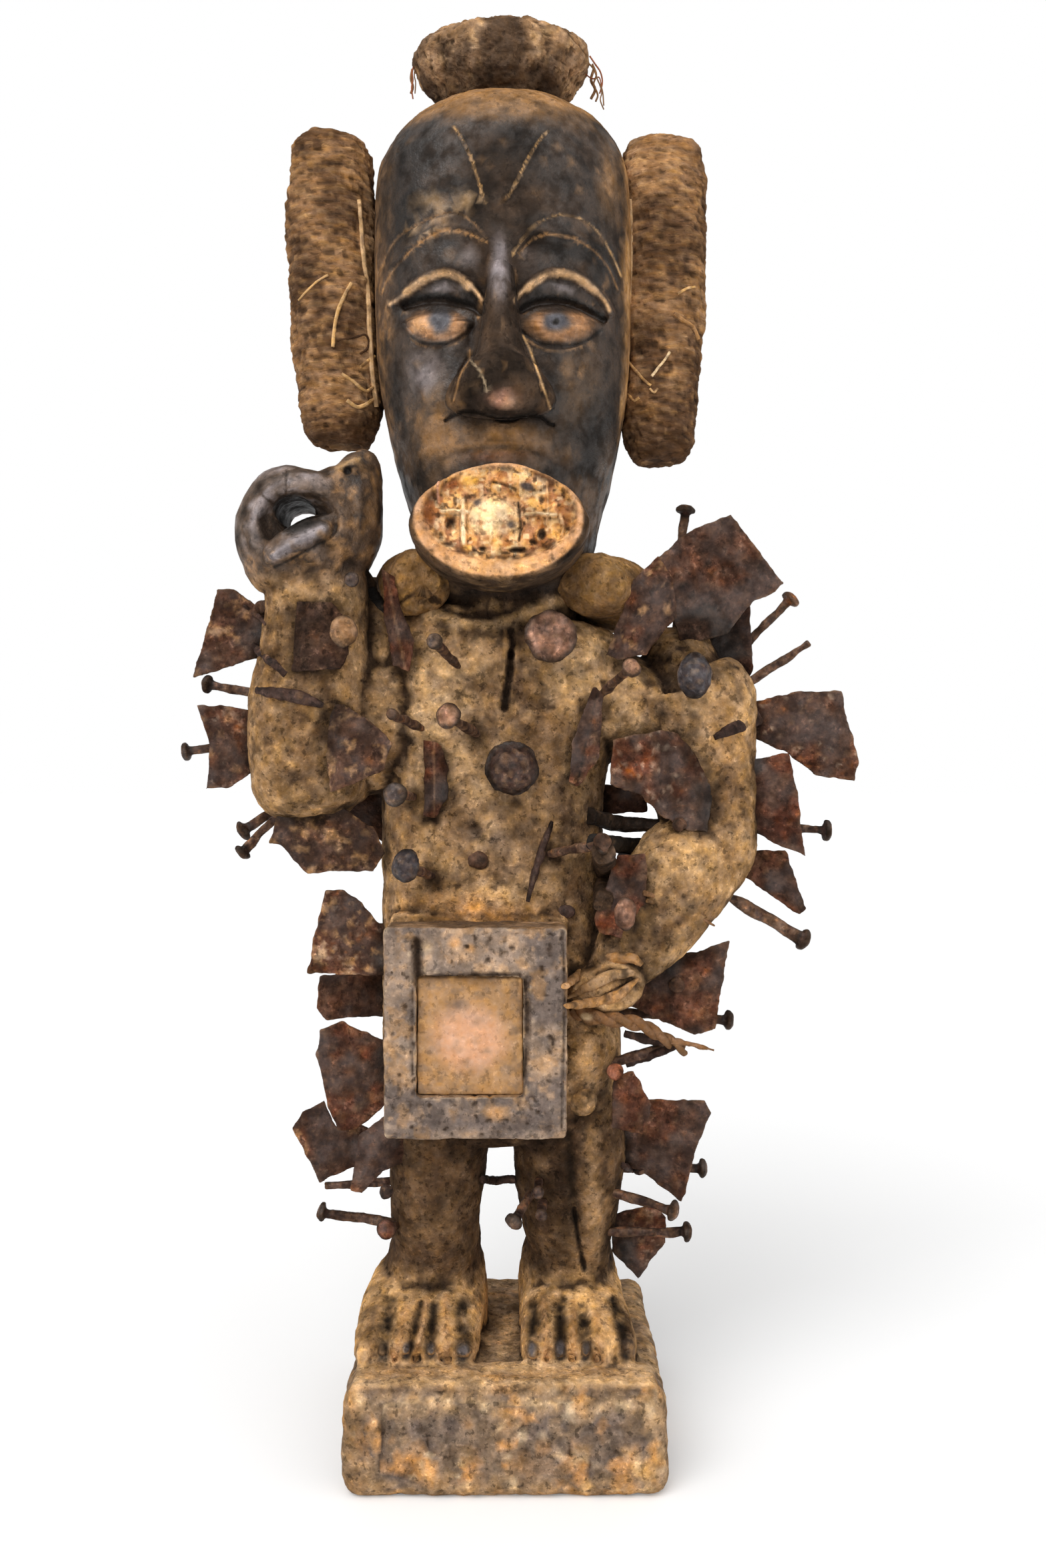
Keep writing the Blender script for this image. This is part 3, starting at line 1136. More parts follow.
    arm_marks: tuple[Mark, ...] = (
        # Fist: ring of fingers and the hollow they close round
        Patch((455, 778), (52, 36), -4.0, Tone.SOOT, 0.9, -6, 0.5, fine=True),
        Line(((384, 812), (382, 780), (392, 748), (414, 726), (450, 716), (490, 724)), 14, 1.6,
             Tone.POLISHED_GREY, 0.55),
        Line(((430, 704), (428, 740)), 3, -1.2, Tone.UNDERSIDE, 0.7, True),
        Line(((392, 742), (410, 756)), 3, -1.0, Tone.UNDERSIDE, 0.7, True),
        Line(((410, 834), (430, 822), (456, 806), (482, 793)), 18, 4.5, Tone.POLISHED_GREY, 1.2,
        True),
        Line(((412, 850), (440, 836), (470, 819), (496, 806)), 4, -0.8, Tone.SOOT, 0.8, True),
        Line(((480, 800), (510, 822), (505, 850)), 10, 1.0, Tone.WORN_OCHRE, 0.6),
        Patch((521, 706), (9, 9), -3.4, Tone.SOOT, 1.2, 0, 0.7, fine=True),
        Line(((506, 702), (520, 693), (538, 690)), 8, 1.2, Tone.BRIGHT_OCHRE, 0.7),
        Line(((536, 700), (542, 740), (540, 790)), 10, 0.8, Tone.UNDERSIDE, 0.6),
        # Hip hand: the curled loop of fingers
        Line(((857, 1480), (885, 1458), (915, 1446), (950, 1458), (962, 1482), (936, 1510),
              (900, 1508)), 9, 2.6, Tone.DUN, 0.5),
        Line(((862, 1490), (890, 1474), (926, 1464)), 5, -1.8, Tone.UNDERSIDE, 0.8, True),
        Line(((890, 1500), (920, 1484), (944, 1472)), 4, -1.4, Tone.UNDERSIDE, 0.7, True),
    )

    def build(self) -> bpy.types.Object:
        """Build, carve and colour the figure.

        Returns:
            The finished piece.
        """
        piece = Bench.join("carved_figure_sculpted", self.forms())
        Bench.fuse(piece, self.grid, 5)
        clay = Clay(piece)
        keep = self.keep(clay)
        self.refine(piece, keep)
        clay = Clay(piece)
        self.carve(clay)
        Bench.thin(piece, self.triangles, self.keep(clay))
        clay = Clay(piece)
        self.colour(clay)
        clay.paint()
        piece.data.materials.append(self.finishes.wood)
        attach(piece, "root")
        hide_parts("carved_figure")
        LOG.info("carved figure: %d faces", len(piece.data.polygons))
        return piece

    def forms(self) -> list[bpy.types.Object]:
        """The plain forms that the figure is carved from."""
        made = [
            Bench.loft("head", self.head, 96, 96),
            Bench.loft("nose", self.nose, 40, 48),
            Bench.loft("muzzle", self.muzzle, 96, 40, UP),
            Bench.loft("neck", self.neck, 48, 16),
            Bench.loft("trunk", self.trunk, 96, 80),
            Bench.loft("raised_upper_arm", self.raised_upper_arm, 64, 32),
            Bench.loft("raised_forearm", self.raised_forearm, 64, 64),
            Bench.loft("knuckle", self.knuckle, 32, 40),
            Bench.loft("thumb", self.thumb, 32, 32),
            Bench.loft("armpit", self.armpit, 48, 32),
            Bench.loft("hip_shoulder", self.hip_shoulder, 64, 24),
            Bench.loft("hip_upper_arm", self.hip_upper_arm, 64, 64),
            Bench.loft("hip_forearm", self.hip_forearm, 64, 48),
            Bench.loft("left_leg", self.left_leg, 64, 48),
            Bench.loft("right_leg", self.right_leg, 64, 48),
            Bench.loft("left_foot", self.left_foot, 64, 48, UP),
            Bench.loft("right_foot", self.right_foot, 64, 48, UP),
            Bench.block("base", self.base_low, self.base_high, 9, 3),
            Bench.block("lip", (-83, -81, 50), (83, -50, 60), 4, 4),
            Bench.block("ledge", (-65, -56, 290), (34, -36, 310), 4, 4),
            Bench.ball("fist_bridge", (-93, -39, 548), (21, 23, 14), 32),
            Bench.ball("hip_hand", (55, -50, 268), (22, 15, 13), 32),
        ]
        for across, half in self.toes:
            made.append(Bench.ball("toe", (across, -32.5, 63), (half, 24.5, 12), 24))
        fist = Bench.loft("fist", self.fist, 64, 48)
        Bench.cut(fist, Bench.ball("bowl", (-113, -73, 526), (24, 19, 17), 32))
        Bench.cut(fist, Bench.ball("hole", (-117, -40, 533.5), (12, 60, 9), 32))
        made.append(fist)
        return made

    def masks(self, clay: Clay) -> dict[str, Array]:
        """Where each group of marks may fall.

        Args:
            clay: the figure's points.

        Returns:
            A mask from 0 to 1 for each group.
        """
        ahead = soften(-clay.facing[:, 1], 0.0, 0.35)
        x, y, z = clay.points.T
        head = soften(z, 482, 494) * soften(-x, -84, -80) * soften(x, -80, -76)
        mouth = soften(-y, 74, 80) * soften(-np.abs(z - 521), -36, -32)
        return {
            "face": head * soften(-y, 10, 25) * ahead * (1 - mouth * 0.9),
            "mouth": head * soften(-y, 76, 82) * ahead,
            "trunk": clay.within((-82, -80, 190), (72, 0, 492)) * ahead,
            "leg": clay.within((-84, -60, 84), (80, 20, 200)) * ahead,
            "foot": clay.within((-90, -90, 52), (90, 30, 92),
            4) * soften(-clay.facing[:, 1] + clay.facing[:, 2], 0.1, 0.5),
            "base": clay.within((-95, -95, -5), (95, -70, 60), 3) * ahead,
            "arm": clay.within((-160, -90, 486), (-64, -10, 590)) * ahead
            + clay.within((26, -90, 240), (84, -30, 292)) * ahead,
        }

    def groups(self) -> dict[str, tuple[Mark, ...]]:
        """The marks by group."""
        return {
            "face": self.face_marks, "mouth": self.mouth_marks, "trunk": self.trunk_marks,
            "leg": self.leg_marks, "foot": self.foot_marks, "base": self.base_marks,
            "arm": self.arm_marks,
        }

    def keep(self, clay: Clay) -> Array:
        """Where the finest faces belong, from 0 to 1."""
        keep = np.zeros(len(clay.points))
        masks = self.masks(clay)
        for name, marks in self.groups().items():
            for mark in marks:
                if mark.fine:
                    keep = np.maximum(keep, (mark.weight(clay.across, clay.down) > 0) * masks[name])
        rim = Patch((747, 777), (134, 92), edge=0.02).weight(clay.across, clay.down)
        return np.maximum(keep, rim * masks["mouth"])

    def refine(self, piece: bpy.types.Object, keep: Array) -> None:
        """Give the places with fine marks four faces for one."""
        mesh = piece.data
        corners = np.empty(len(mesh.loops), np.int32)
        mesh.loops.foreach_get("vertex_index", corners)
        starts = np.empty(len(mesh.polygons), np.int32)
        mesh.polygons.foreach_get("loop_start", starts)
        chosen = np.minimum.reduceat(keep[corners], starts) > 0.5
        Bench.pick(piece)
        bpy.ops.object.mode_set(mode="EDIT")
        bpy.ops.mesh.select_mode(type="FACE")
        bpy.ops.mesh.select_all(action="DESELECT")
        bpy.ops.object.mode_set(mode="OBJECT")
        mesh.polygons.foreach_set("select", chosen)
        bpy.ops.object.mode_set(mode="EDIT")
        bpy.ops.mesh.subdivide(number_cuts=1, smoothness=0)
        bpy.ops.object.mode_set(mode="OBJECT")

    def carve(self, clay: Clay) -> None:
        """Carve the marks, the tool marks and the crust."""
        masks = self.masks(clay)
        for name, marks in self.groups().items():
            clay.mark(marks, masks[name], True)
            clay.look()
        clay.mark(self.zones, masks["trunk"], True)
        clay.look()
        points = clay.points
        crust = self.crusted(points)
        clay.move(
            crust * (0.9 * layered(points, 18, 2, 3) + 0.6 * layered(points, 5.5, 2, 5))
            + (1 - crust) * 0.4 * layered(points, 18, 2, 9)
        )
        pits = soften(layered(points, 5, 2, 21), 0.42, 0.62) * crust
        clay.look()
        clay.move(-0.45 * pits)
        clay.points[:, 2] = np.maximum(clay.points[:, 2], 0.0)
        clay.look()

    def crusted(self, points: Array) -> Array:
        """How crusty the wood is: 1 on the body and little on the polished head."""
        head = soften(points[:, 2], 486, 500) * soften(-np.abs(points[:, 0]), -86, -78)
        mouth = soften(-points[:, 1], 84, 87) * soften(-points[:, 2], -560, -550) * head
        fist = soften(points[:, 2], 498, 512) * (1 - head)
        crown = soften(points[:, 2], 748, 766)
        return np.clip(1 - 0.58 * head * (1 - 0.5 * crown) - 0.3 * fist + 0.2 * mouth, 0.06, 1)

    def colour(self, clay: Clay) -> None:
        """Colour the figure in layers: wood, worn places, marks and grime."""
        points = clay.points
        x, y, z = points.T
        broad = layered(points, 42, 3, 31)
        medium = layered(points, 14, 3, 37)
        small = layered(points, 5, 2, 41)
        hollow = np.clip(clay.hollows(3) / 0.5, -1, 1)

        clay.dye(Tone.DUN, 1)
        clay.dye(Tone.SAND, soften(0.7 * broad + 0.5 * medium, -0.2, 0.8) * 0.75)
        clay.dye(Tone.EARTH, soften(-0.6 * medium - 0.6 * broad, -0.1, 0.7) * 0.7)
        clay.dye(Tone.LEG_DARK, soften(layered(points, (30, 30, 40), 3, 43), 0.2, 0.8) * 0.4)
        arms = soften(np.abs(x + 4), 74, 86) * soften(z, 250, 270) * soften(-z, -500, -486)
        clay.dye(Tone.EARTH, arms * soften(-broad - 0.4 * medium, -0.9, 0.3) * 0.75)
        legs = soften(-z, -206, -186) * soften(z, 84, 104)
        clay.dye(Tone.EARTH, legs * 0.8)
        clay.dye(Tone.LEG_DARK, legs * soften(-medium - broad, -0.9, 0.5) * 0.7)
        feet = soften(-z, -100, -88) * soften(z, 56, 59)
        clay.dye(Tone.FOOT_OCHRE, feet * 0.95)
        clay.dye(Tone.BRIGHT_OCHRE, feet * soften(medium + 0.5 * small, -0.1, 0.7) * 0.5)
        clay.dye(Tone.EARTH, feet * soften(-medium - 0.4 * small, 0.1, 0.8) * 0.4)
        base = soften(-z, -61, -57)
        flake = layered(points, 10, 3, 57)
        clay.dye(Tone.BASE_GREY, base)
        clay.dye(Tone.FRAME_DARK, base * soften(-medium - 0.5 * broad, -0.3, 0.5) * 0.75)
        clay.dye(Tone.LEG_DARK, base * soften(-flake - 0.3 * broad, 0.2, 0.7) * 0.5)
        clay.dye(Tone.FLAKE_ORANGE, base * soften(flake + 0.3 * small + 0.3 * broad, 0.3,
            0.6) * 0.7)
        clay.dye(Tone.FLAKE_PALE, base * soften(layered(points, 5, 3, 51), 0.42, 0.62) * 0.6)
        clay.dye(Tone.UNDERSIDE, base * soften(-z, -8, 0) * 0.6)

        head = soften(z, 484, 500) * soften(-np.abs(x + 1), -84, -79)
        clay.dye(Tone.POLISHED_DARK, head)
        clay.dye(Tone.POLISHED_WARM, head * soften(medium + 0.5 * small, -0.1, 0.7) * 0.5)
        clay.dye(Tone.SOOT, head * soften(-medium - 0.7 * broad, -0.2, 0.7) * 0.65)
        fleck = layered(points, 3.2, 3, 47)
        clay.dye(Tone.WORN_OCHRE, head * soften(fleck, 0.5, 0.7) * 0.4)
        clay.dye(Tone.SOOT, head * soften(-fleck, 0.35, 0.7) * 0.5)
        clay.dye(Tone.WORN_OCHRE, head * soften(z + 10 * medium, 742, 764) * 0.8)
        edge = soften(np.abs(x + 1) + 4 * medium, 64, 71) * soften(z, 520, 590)
        clay.dye(Tone.WORN_OCHRE, head * edge * 0.9)
        clay.dye(Tone.BRIGHT_OCHRE, head * edge * soften(medium + small, -0.3, 0.7) * 0.5)
        jaw = soften(-z, -600, -560) * head
        clay.dye(Tone.EARTH, jaw * soften(medium, -0.3, 0.5) * 0.6)
        neck = soften(z, 462, 470) * soften(-z, -500, -492) * soften(-np.abs(x - 3), -46, -38)
        clay.dye(Tone.UNDERSIDE, neck * 0.8)

        fist = soften(z + 4 * medium, 488, 504) * soften(-x, 60, 66)
        clay.dye(Tone.POLISHED_WARM, fist * 0.95)
        ring = fist * soften(-x, 92, 102) * soften(z, 505, 515)
        clay.dye(Tone.POLISHED_GREY, ring * soften(medium + 0.6 * small, -0.2, 0.5) * 0.8)
        clay.dye(Tone.SOOT, fist * soften(-medium - 0.5 * small, 0.0, 0.6) * 0.6)
        caked = soften(layered(points, 5, 3, 57), -0.05, 0.35) * (fist - ring)
        clay.dye(Tone.WORN_OCHRE, caked * 0.65)

        masks = self.masks(clay)
        body = (1 - head) * (1 - fist) * soften(-clay.facing[:, 1], -0.3, 0.3)
        clay.mark(self.zones, body * np.clip(0.85 + 0.4 * medium, 0, 1), False)
        flakes = layered(points, 7, 3, 53)
        clay.dye(Tone.BRIGHT_OCHRE, soften(flakes, 0.25, 0.6) * body * (1 - legs) * 0.35)
        clay.dye(Tone.LEG_DARK, soften(-flakes, 0.15,
            0.6) * (1 - head) * (1 - base) * (1 - 0.6 * feet) * 0.5)
        closed = Sight().shade(points, clay.facing)
        closed *= (1 - head) * (1 - 0.75 * feet) * (1 - fist)
        clay.dye(Tone.UNDERSIDE, soften(closed + 0.06 * medium, 0.3, 0.8) * 0.6)
        iron = Sight(("blade", "nail", "spike")).near(points, 9.0)
        clay.dye(Tone.UNDERSIDE, (1 - head) * soften(iron + 0.2 * small, 0.2, 0.9) * 0.75)
        self.colour_face(clay, masks["face"])
        for name, marks in self.groups().items():
            if name == "mouth":
                self.colour_mouth(clay, masks["mouth"])
            clay.mark(marks, masks[name], False)
        self.colour_eyes(clay, masks["face"])

        worn = (1 - head) * (1 - fist) * (1 - 0.6 * legs) * soften(-hollow, 0.3, 1.2) * 0.35
        clay.dye(Tone.BRIGHT_OCHRE, worn)
        wide = np.clip(clay.hollows(14) / 2.2, -1, 1)
        clay.dye(Tone.UNDERSIDE, soften(wide, 0.2, 1.0) * 0.5 * (1 - masks["mouth"]))
        grime = soften(hollow, 0.2, 1.0) * (0.75 - 0.5 * masks["mouth"])
        clay.dye(Tone.UNDERSIDE, grime)
        ground = soften(clay.facing[:, 2], 0.5, 0.9) * soften(-z, -64, -61) * soften(z, 50, 54)
        clay.dye(Tone.SAND, ground * (0.5 + 0.4 * medium))
        clay.crust = self.crusted(points)
        clay.gloss = head * (1 - masks["mouth"]) * soften(-edge, -0.8, -0.1) + fist * 0.8
        clay.gloss += feet * soften(-y, 46, 52) * soften(-z, -74, -70) * 0.6
        clay.gloss *= 1 - soften(z, 742, 764)

    def colour_face(self, clay: Clay, where: Array) -> None:
        """The worn and dusty places of the face."""
        patches = (
            Patch((590, 330), (36, 110), 0, Tone.SOOT, 0.6, 0, 1.0),
            Patch((660, 368), (70, 18), 0, Tone.SOOT, 0.6, -10, 0.9),
            Patch((845, 370), (90, 26), 0, Tone.SOOT, 0.7, 8, 0.9),
            Patch((760, 160), (150, 34), 0, Tone.WORN_OCHRE, 0.8, 0, 0.9),
            Patch((913, 270), (26, 90), 0, Tone.WORN_OCHRE, 0.8, 0, 1.0),
            Patch((748, 400), (22, 76), 0, Tone.POLISHED_GREY, 1.0, 0, 0.8),
            Patch((700, 384), (28, 22), 0, Tone.POLISHED_GREY, 0.9, 0, 1.0),
            Patch((790, 380), (22, 18), 0, Tone.POLISHED_GREY, 0.6, 0, 1.0),
            Patch((668, 431), (44, 10), 0, Tone.POLISHED_GREY, 0.9, -4, 0.8),
            Patch((845, 431), (50, 11), 0, Tone.POLISHED_GREY, 0.9, 4, 0.8),
            Patch((756, 598), (40, 22), 0, Tone.PINK_TIP, 0.8, 0, 0.9),
            Patch((768, 604), (22, 12), 0, Tone.LID, 0.4, 0, 1.0),
            Patch((638, 560), (44, 50), 0, Tone.POLISHED_GREY, 0.9, 0, 0.9),
            Patch((870, 580), (46, 90), 0, Tone.WORN_OCHRE, 0.5, 0, 0.9),
            Patch((604, 300), (56, 140), 0, Tone.SOOT, 0.9, 0, 1.0),
            Patch((760, 230), (110, 90), 0, Tone.SOOT, 0.45, 0, 0.9),
            Patch((655, 650), (54, 90), 0, Tone.WORN_OCHRE, 0.9, 0, 0.9),
            Patch((745, 656), (110, 34), 0, Tone.WORN_OCHRE, 1.0, 0, 0.7),
            Patch((745, 684), (70, 14), 0, Tone.MOUTH_BROWN, 0.7, 0, 0.9),
            Patch((590, 580), (26, 90), 0, Tone.SOOT, 0.8, 0, 1.0),
            Patch((896, 640), (40, 90), 0, Tone.SOOT, 0.8, 0, 0.9),
            Patch((735, 490), (20, 80), 0, Tone.POLISHED_WARM, 0.6, 0, 1.0),
            Patch((704, 590), (24, 36), 0, Tone.SOOT, 0.7, 0, 1.0),
            Patch((628, 720), (26, 40), 0, Tone.SOOT, 0.5, 0, 1.0),
        )
        clay.mark(patches, where, False)
        crumbs = soften(layered(clay.points, 2.6, 3, 67), -0.1, 0.4)
        for spot, radii in (((665, 306), (74, 34)), ((640, 345), (60, 26)), ((712, 300), (24, 18))):
            weight = Patch(spot, radii, edge=0.8).weight(clay.across, clay.down)
            clay.dye(Tone.SAND, weight * where * crumbs * 0.6)

    def colour_eyes(self, clay: Clay, where: Array) -> None:
        """The bare wood of the eyes and their dark pupils."""
        streaks = layered(clay.points, (9, 9, 1.6), 2, 61)
        blotch = layered(clay.points, 5, 3, 63)
        for centre, radii, dark in (((654, 487), (54, 29), 0.25), ((840, 487), (62, 31), 0.85)):
            shape = Patch(centre, radii, edge=0.5).weight(clay.across, clay.down) * where
            clay.dye(Tone.EYE_WOOD_DARK, shape)
            clay.dye(Tone.EYE_WOOD, shape * soften(streaks + 0.4 * blotch, -0.6,
                0.5) * (1 - dark * 0.5))
            clay.dye(Tone.EYE_WOOD_DARK, shape * soften(blotch, 0.0, 0.6) * (0.3 + 0.5 * dark))
        for spot, tone, radii in (
            ((629, 486), Tone.PEACH, (20, 17)), ((660, 478), Tone.PUPIL, (24, 31)),
            ((834, 481), Tone.PUPIL, (30, 21)), ((834, 482), Tone.SOOT, (7, 7)),
            ((706, 486), Tone.UNDERSIDE, (9, 14)), ((604, 486), Tone.UNDERSIDE, (8, 12)),
        ):
            weight = Patch(spot, radii, edge=0.6).weight(clay.across + 3 * blotch, clay.down)
            clay.dye(tone, weight * where * (0.55 if tone is Tone.PEACH else 0.95))
        for centre in ((655, 463), (841, 463)):
            shade = Patch(centre, (58, 12), edge=1.0).weight(clay.across, clay.down) * where
            clay.dye(Tone.SOOT, shade * 0.7)

    def colour_mouth(self, clay: Clay, where: Array) -> None:
        """The pale rim of the mouth and the stained field inside it."""
        rim = Patch((747, 776), (131, 90), edge=0.05).weight(clay.across, clay.down) * where
        clay.dye(Tone.EYE_WOOD, rim)
        field = Patch((749, 769), (122, 75), edge=0.12).weight(clay.across, clay.down) * where
        blotch = layered(clay.points, 6, 3, 71)
        clay.dye(Tone.GOLD, field * 0.5)
        clay.dye(Tone.MOUTH_BROWN, field * soften(blotch, -0.3, 0.4) * 0.75)
        middle = Patch((738, 774), (60, 44), edge=0.8).weight(clay.across, clay.down) * where
        clay.dye(Tone.CREAM, middle * 0.85)
        low = Patch((744, 846), (112, 26), edge=0.7).weight(clay.across, clay.down) * where
        clay.dye(Tone.PEACH, low * 0.8)
        edge = layered(clay.points, 5, 3, 73)
        clay.dye(Tone.EARTH, rim * (1 - field) * soften(edge, 0.25, 0.7) * 0.5)
        stain = soften(layered(clay.points, 2.6, 2, 77), 0.2, 0.5)
        outer = field * (1 - 0.75 * middle)
        clay.dye(Tone.UNDERSIDE, outer * stain * 0.65)
        clay.dye(Tone.MOUTH_BROWN, middle * soften(layered(clay.points, 3.4, 2, 79), 0.3,
            0.6) * 0.6)
        clay.dye(Tone.CREAM, outer * soften(layered(clay.points, 3.0, 2, 83), 0.1, 0.4) * 0.6)
        seam = field * (1 - Patch((749, 769), (114, 68), edge=0.15).weight(clay.across, clay.down))
        clay.dye(Tone.UNDERSIDE, seam * soften(blotch, -0.5, 0.3) * 0.6)


# Iron


@dataclass(frozen=True)
class BladeLook:
    """How one blade is bent and how its rust looks: shares of red, tan and pale specks."""

    fold: float = 0.0
    bow: float = 0.0
    red: float = 0.4
    tan: float = 0.3
    pale: float = 0.0


@dataclass
class Blades:
    """The hand-forged plates driven into the wood."""

    finishes: Finishes
    grid: float = 0.95
    triangles: int = 5200
    looks: dict[str, BladeLook] = field(
        default_factory=lambda: {
            "blade_forearm_outer": BladeLook(0, 2, 0.3, 0.7, 0.2),
            "blade_elbow_outer": BladeLook(0, -2, 0.4, 0.5, 0.3),
            "blade_under_elbow": BladeLook(0, 2, 0.0, 0.9, 0.1),
            "blade_arm_gap": BladeLook(0, 1, 0.3, 0.2, 0),
            "blade_upper_arm": BladeLook(0, 2, 0.1, 0.8, 0.1),
            "blade_fist_wrist": BladeLook(2, 1, 0.1, 0.2, 0),
            "blade_left_shoulder": BladeLook(5, 1, 0.8, 0.1, 0),
            "blade_left_chest": BladeLook(4, 1, 0.7, 0.2, 0),
            "blade_right_chest": BladeLook(-4, 2, 0.6, 0.4, 0.2),
            "blade_right_shoulder_top": BladeLook(0, 2, 0.3, 0.1, 0.15),
            "blade_right_shoulder_leaf": BladeLook(5, 1, 0.5, 0.9, 0.1),
            "blade_right_shoulder_back": BladeLook(1, 1, 0.95, 0.1, 0),
            "blade_right_arm_upper": BladeLook(0, 1, 0.5, 0.3, 0.5),
            "blade_right_arm_lower": BladeLook(0, 1, 0.7, 0.0, 0.1),
            "blade_right_elbow": BladeLook(0, 1, 0.4, 0.3, 0),
            "blade_right_arm_front": BladeLook(1, 2, 0.8, 0.2, 0.5),
            "blade_right_side_gap": BladeLook(0, 0, 0.4, 0.2, 0),
            "blade_right_waist": BladeLook(2, 1, 0.8, 0.3, 0),
            "blade_left_hip_top": BladeLook(0, 1, 0.4, 0.9, 0.4),
            "blade_left_hip_back": BladeLook(0, 0, 0.2, 0.2, 0),
            "blade_left_hip_middle": BladeLook(2, 2, 0.7, 0.3, 0.1),
            "blade_left_thigh_outer": BladeLook(0, 1, 0.4, 0.6, 0.2),
            "blade_left_thigh_front": BladeLook(3, 1, 0.6, 0.3, 0),
            "blade_right_hip": BladeLook(0, 1, 0.5, 0.3, 0.1),
            "blade_right_hip_leaf": BladeLook(3, 1, 0.6, 0.3, 0),
            "blade_right_thigh_outer": BladeLook(0, 1, 0.5, 0.3, 0.1),
            "blade_right_leg_leaf": BladeLook(1, 1, 0.6, 0.5, 0.3),
        }
    )

    def build(self) -> None:
        """Forge every blade."""
        wood = Sight(("carved",))
        for count, (node, look) in enumerate(self.looks.items()):
            self.forge(node, look, 100 + 7 * count, wood)
        LOG.info("blades: %d", len(self.looks))

    def forge(self, node: str, look: BladeLook, seed: int, wood: Sight) -> bpy.types.Object:
        """Forge one blade from its plain plate.

        Args:
            node: the plate's name.
            look: how it is bent and rusted.
            seed: picks its pattern of hammer marks.
            wood: finds the wood that it is driven into.

        Returns:
            The finished blade.
        """
        piece = Bench.copy(node, node + "_forged")
        Bench.fuse(piece, self.grid, 1)
        clay = Clay(piece)
        middle = clay.points.mean(0)
        _, axes = np.linalg.eigh(np.cov((clay.points - middle).T))
        flat, short, long = axes.T
        if flat[1] > 0:
            flat = -flat
        local = clay.points - middle
        height = local @ flat
        rim = np.abs(clay.facing @ flat) < 0.6
        away = self.distance(clay.points, clay.points[rim])
        thinner = 0.42 + 0.58 * soften(away, 0, 9)
        clay.points -= flat * (height * (1 - thinner))[:, None]
        chips = soften(4 - away, 0, 4)
        inward = clay.facing - flat * (clay.facing @ flat)[:, None]
        bite = layered(clay.points, 5, 2, seed) * 0.9 + layered(clay.points, 14, 1, seed + 1) * 0.7
        clay.points += inward * (chips * (bite - 0.35))[:, None]
        reach = max(np.abs(local @ long).max(), 1)
        width = max(np.abs(local @ short).max(), 1)
        along, across = local @ long / reach, local @ short / width
        bend = look.bow * (along**2 - 0.3) + look.fold * (0.5 - np.abs(across))
        warp = 1.1 * layered(clay.points, 26, 2, seed + 2)
        clay.points += flat * (bend + warp)[:, None]
        clay.look()
        clay.move(0.38 * layered(clay.points, 6, 3, seed + 3) * soften(away, 0.3, 3))
        clay.look()
        Bench.thin(piece, self.triangles)
        clay = Clay(piece)
        self.rust(clay, look, seed)
        clay.dye(Tone.SOOT, soften(wood.near(clay.points, 10.0), 0.2, 1.0) * 0.6)
        clay.paint()
        piece.data.materials.append(self.finishes.iron)
        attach(piece, "root")
        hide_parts(node)
        return piece

    @staticmethod
    def distance(points: Array, rim: Array) -> Array:
        """How far each point lies from the rim's points."""
        rim = rim[:: max(len(rim) // 500, 1)]
        best = np.full(len(points), 1e9)
        for start in range(0, len(rim), 100):
            part = rim[start : start + 100]
            gap = ((points[:, None] - part[None]) ** 2).sum(2).min(1)
            best = np.minimum(best, gap)
        return np.sqrt(best)

    @staticmethod
    def rust(clay: Clay, look: BladeLook, seed: int) -> None:
        """Colour a blade with its layers of rust."""
        points = clay.points
        broad = layered(points, 18, 3, seed + 11)
        small = layered(points, 5, 3, seed + 13)
        hollow = np.clip(clay.hollows(2) / 0.25, -1, 1)
        clay.dye(Tone.RUST_DARK, 1)
        clay.dye(Tone.RUST_BROWN, soften(small, -0.3, 0.5) * 0.7)
        clay.dye(Tone.RUST_RED, soften(broad, -0.2, 0.5) * look.red)
        clay.dye(Tone.RUST_TAN, soften(broad * 0.6 - small, 0.1, 0.7) * look.tan)
        clay.dye(Tone.RUST_ORANGE, soften(small + 0.5 * broad, 0.6, 1.0) * (0.15 + look.pale) * 0.7)
        fleck = soften(layered(points, 3.2, 2, seed + 17) + 0.4 * broad, 0.4, 0.65)
        clay.dye(Tone.RUST_PALE, fleck * look.pale * 0.8)
        clay.dye(Tone.RUST_TAN, soften(-hollow, 0.4, 1.2) * 0.4)
        clay.dye(Tone.SOOT, soften(hollow, 0.1, 1.0) * 0.6)
        clay.crust = 0.45 + 0.4 * soften(broad, -0.4, 0.6)
        clay.gloss = soften(-broad, -0.2, 0.7) * 0.8


@dataclass(frozen=True)
class Nail:
    """A nail: its head's place, the place where it enters the wood and its head's radius.

    oval is the head's width as a share of its height, dome its rise as a share of its radius and
    stout how thick the shank is beside the others.
    """

    node: str
    head: Place
    foot: Place
    cap: float
    bend: float = 1.0
    tone: Tone = Tone.RUST_DARK
    oval: float = 1.0
    dome: float = 0.25
    stout: float = 1.0


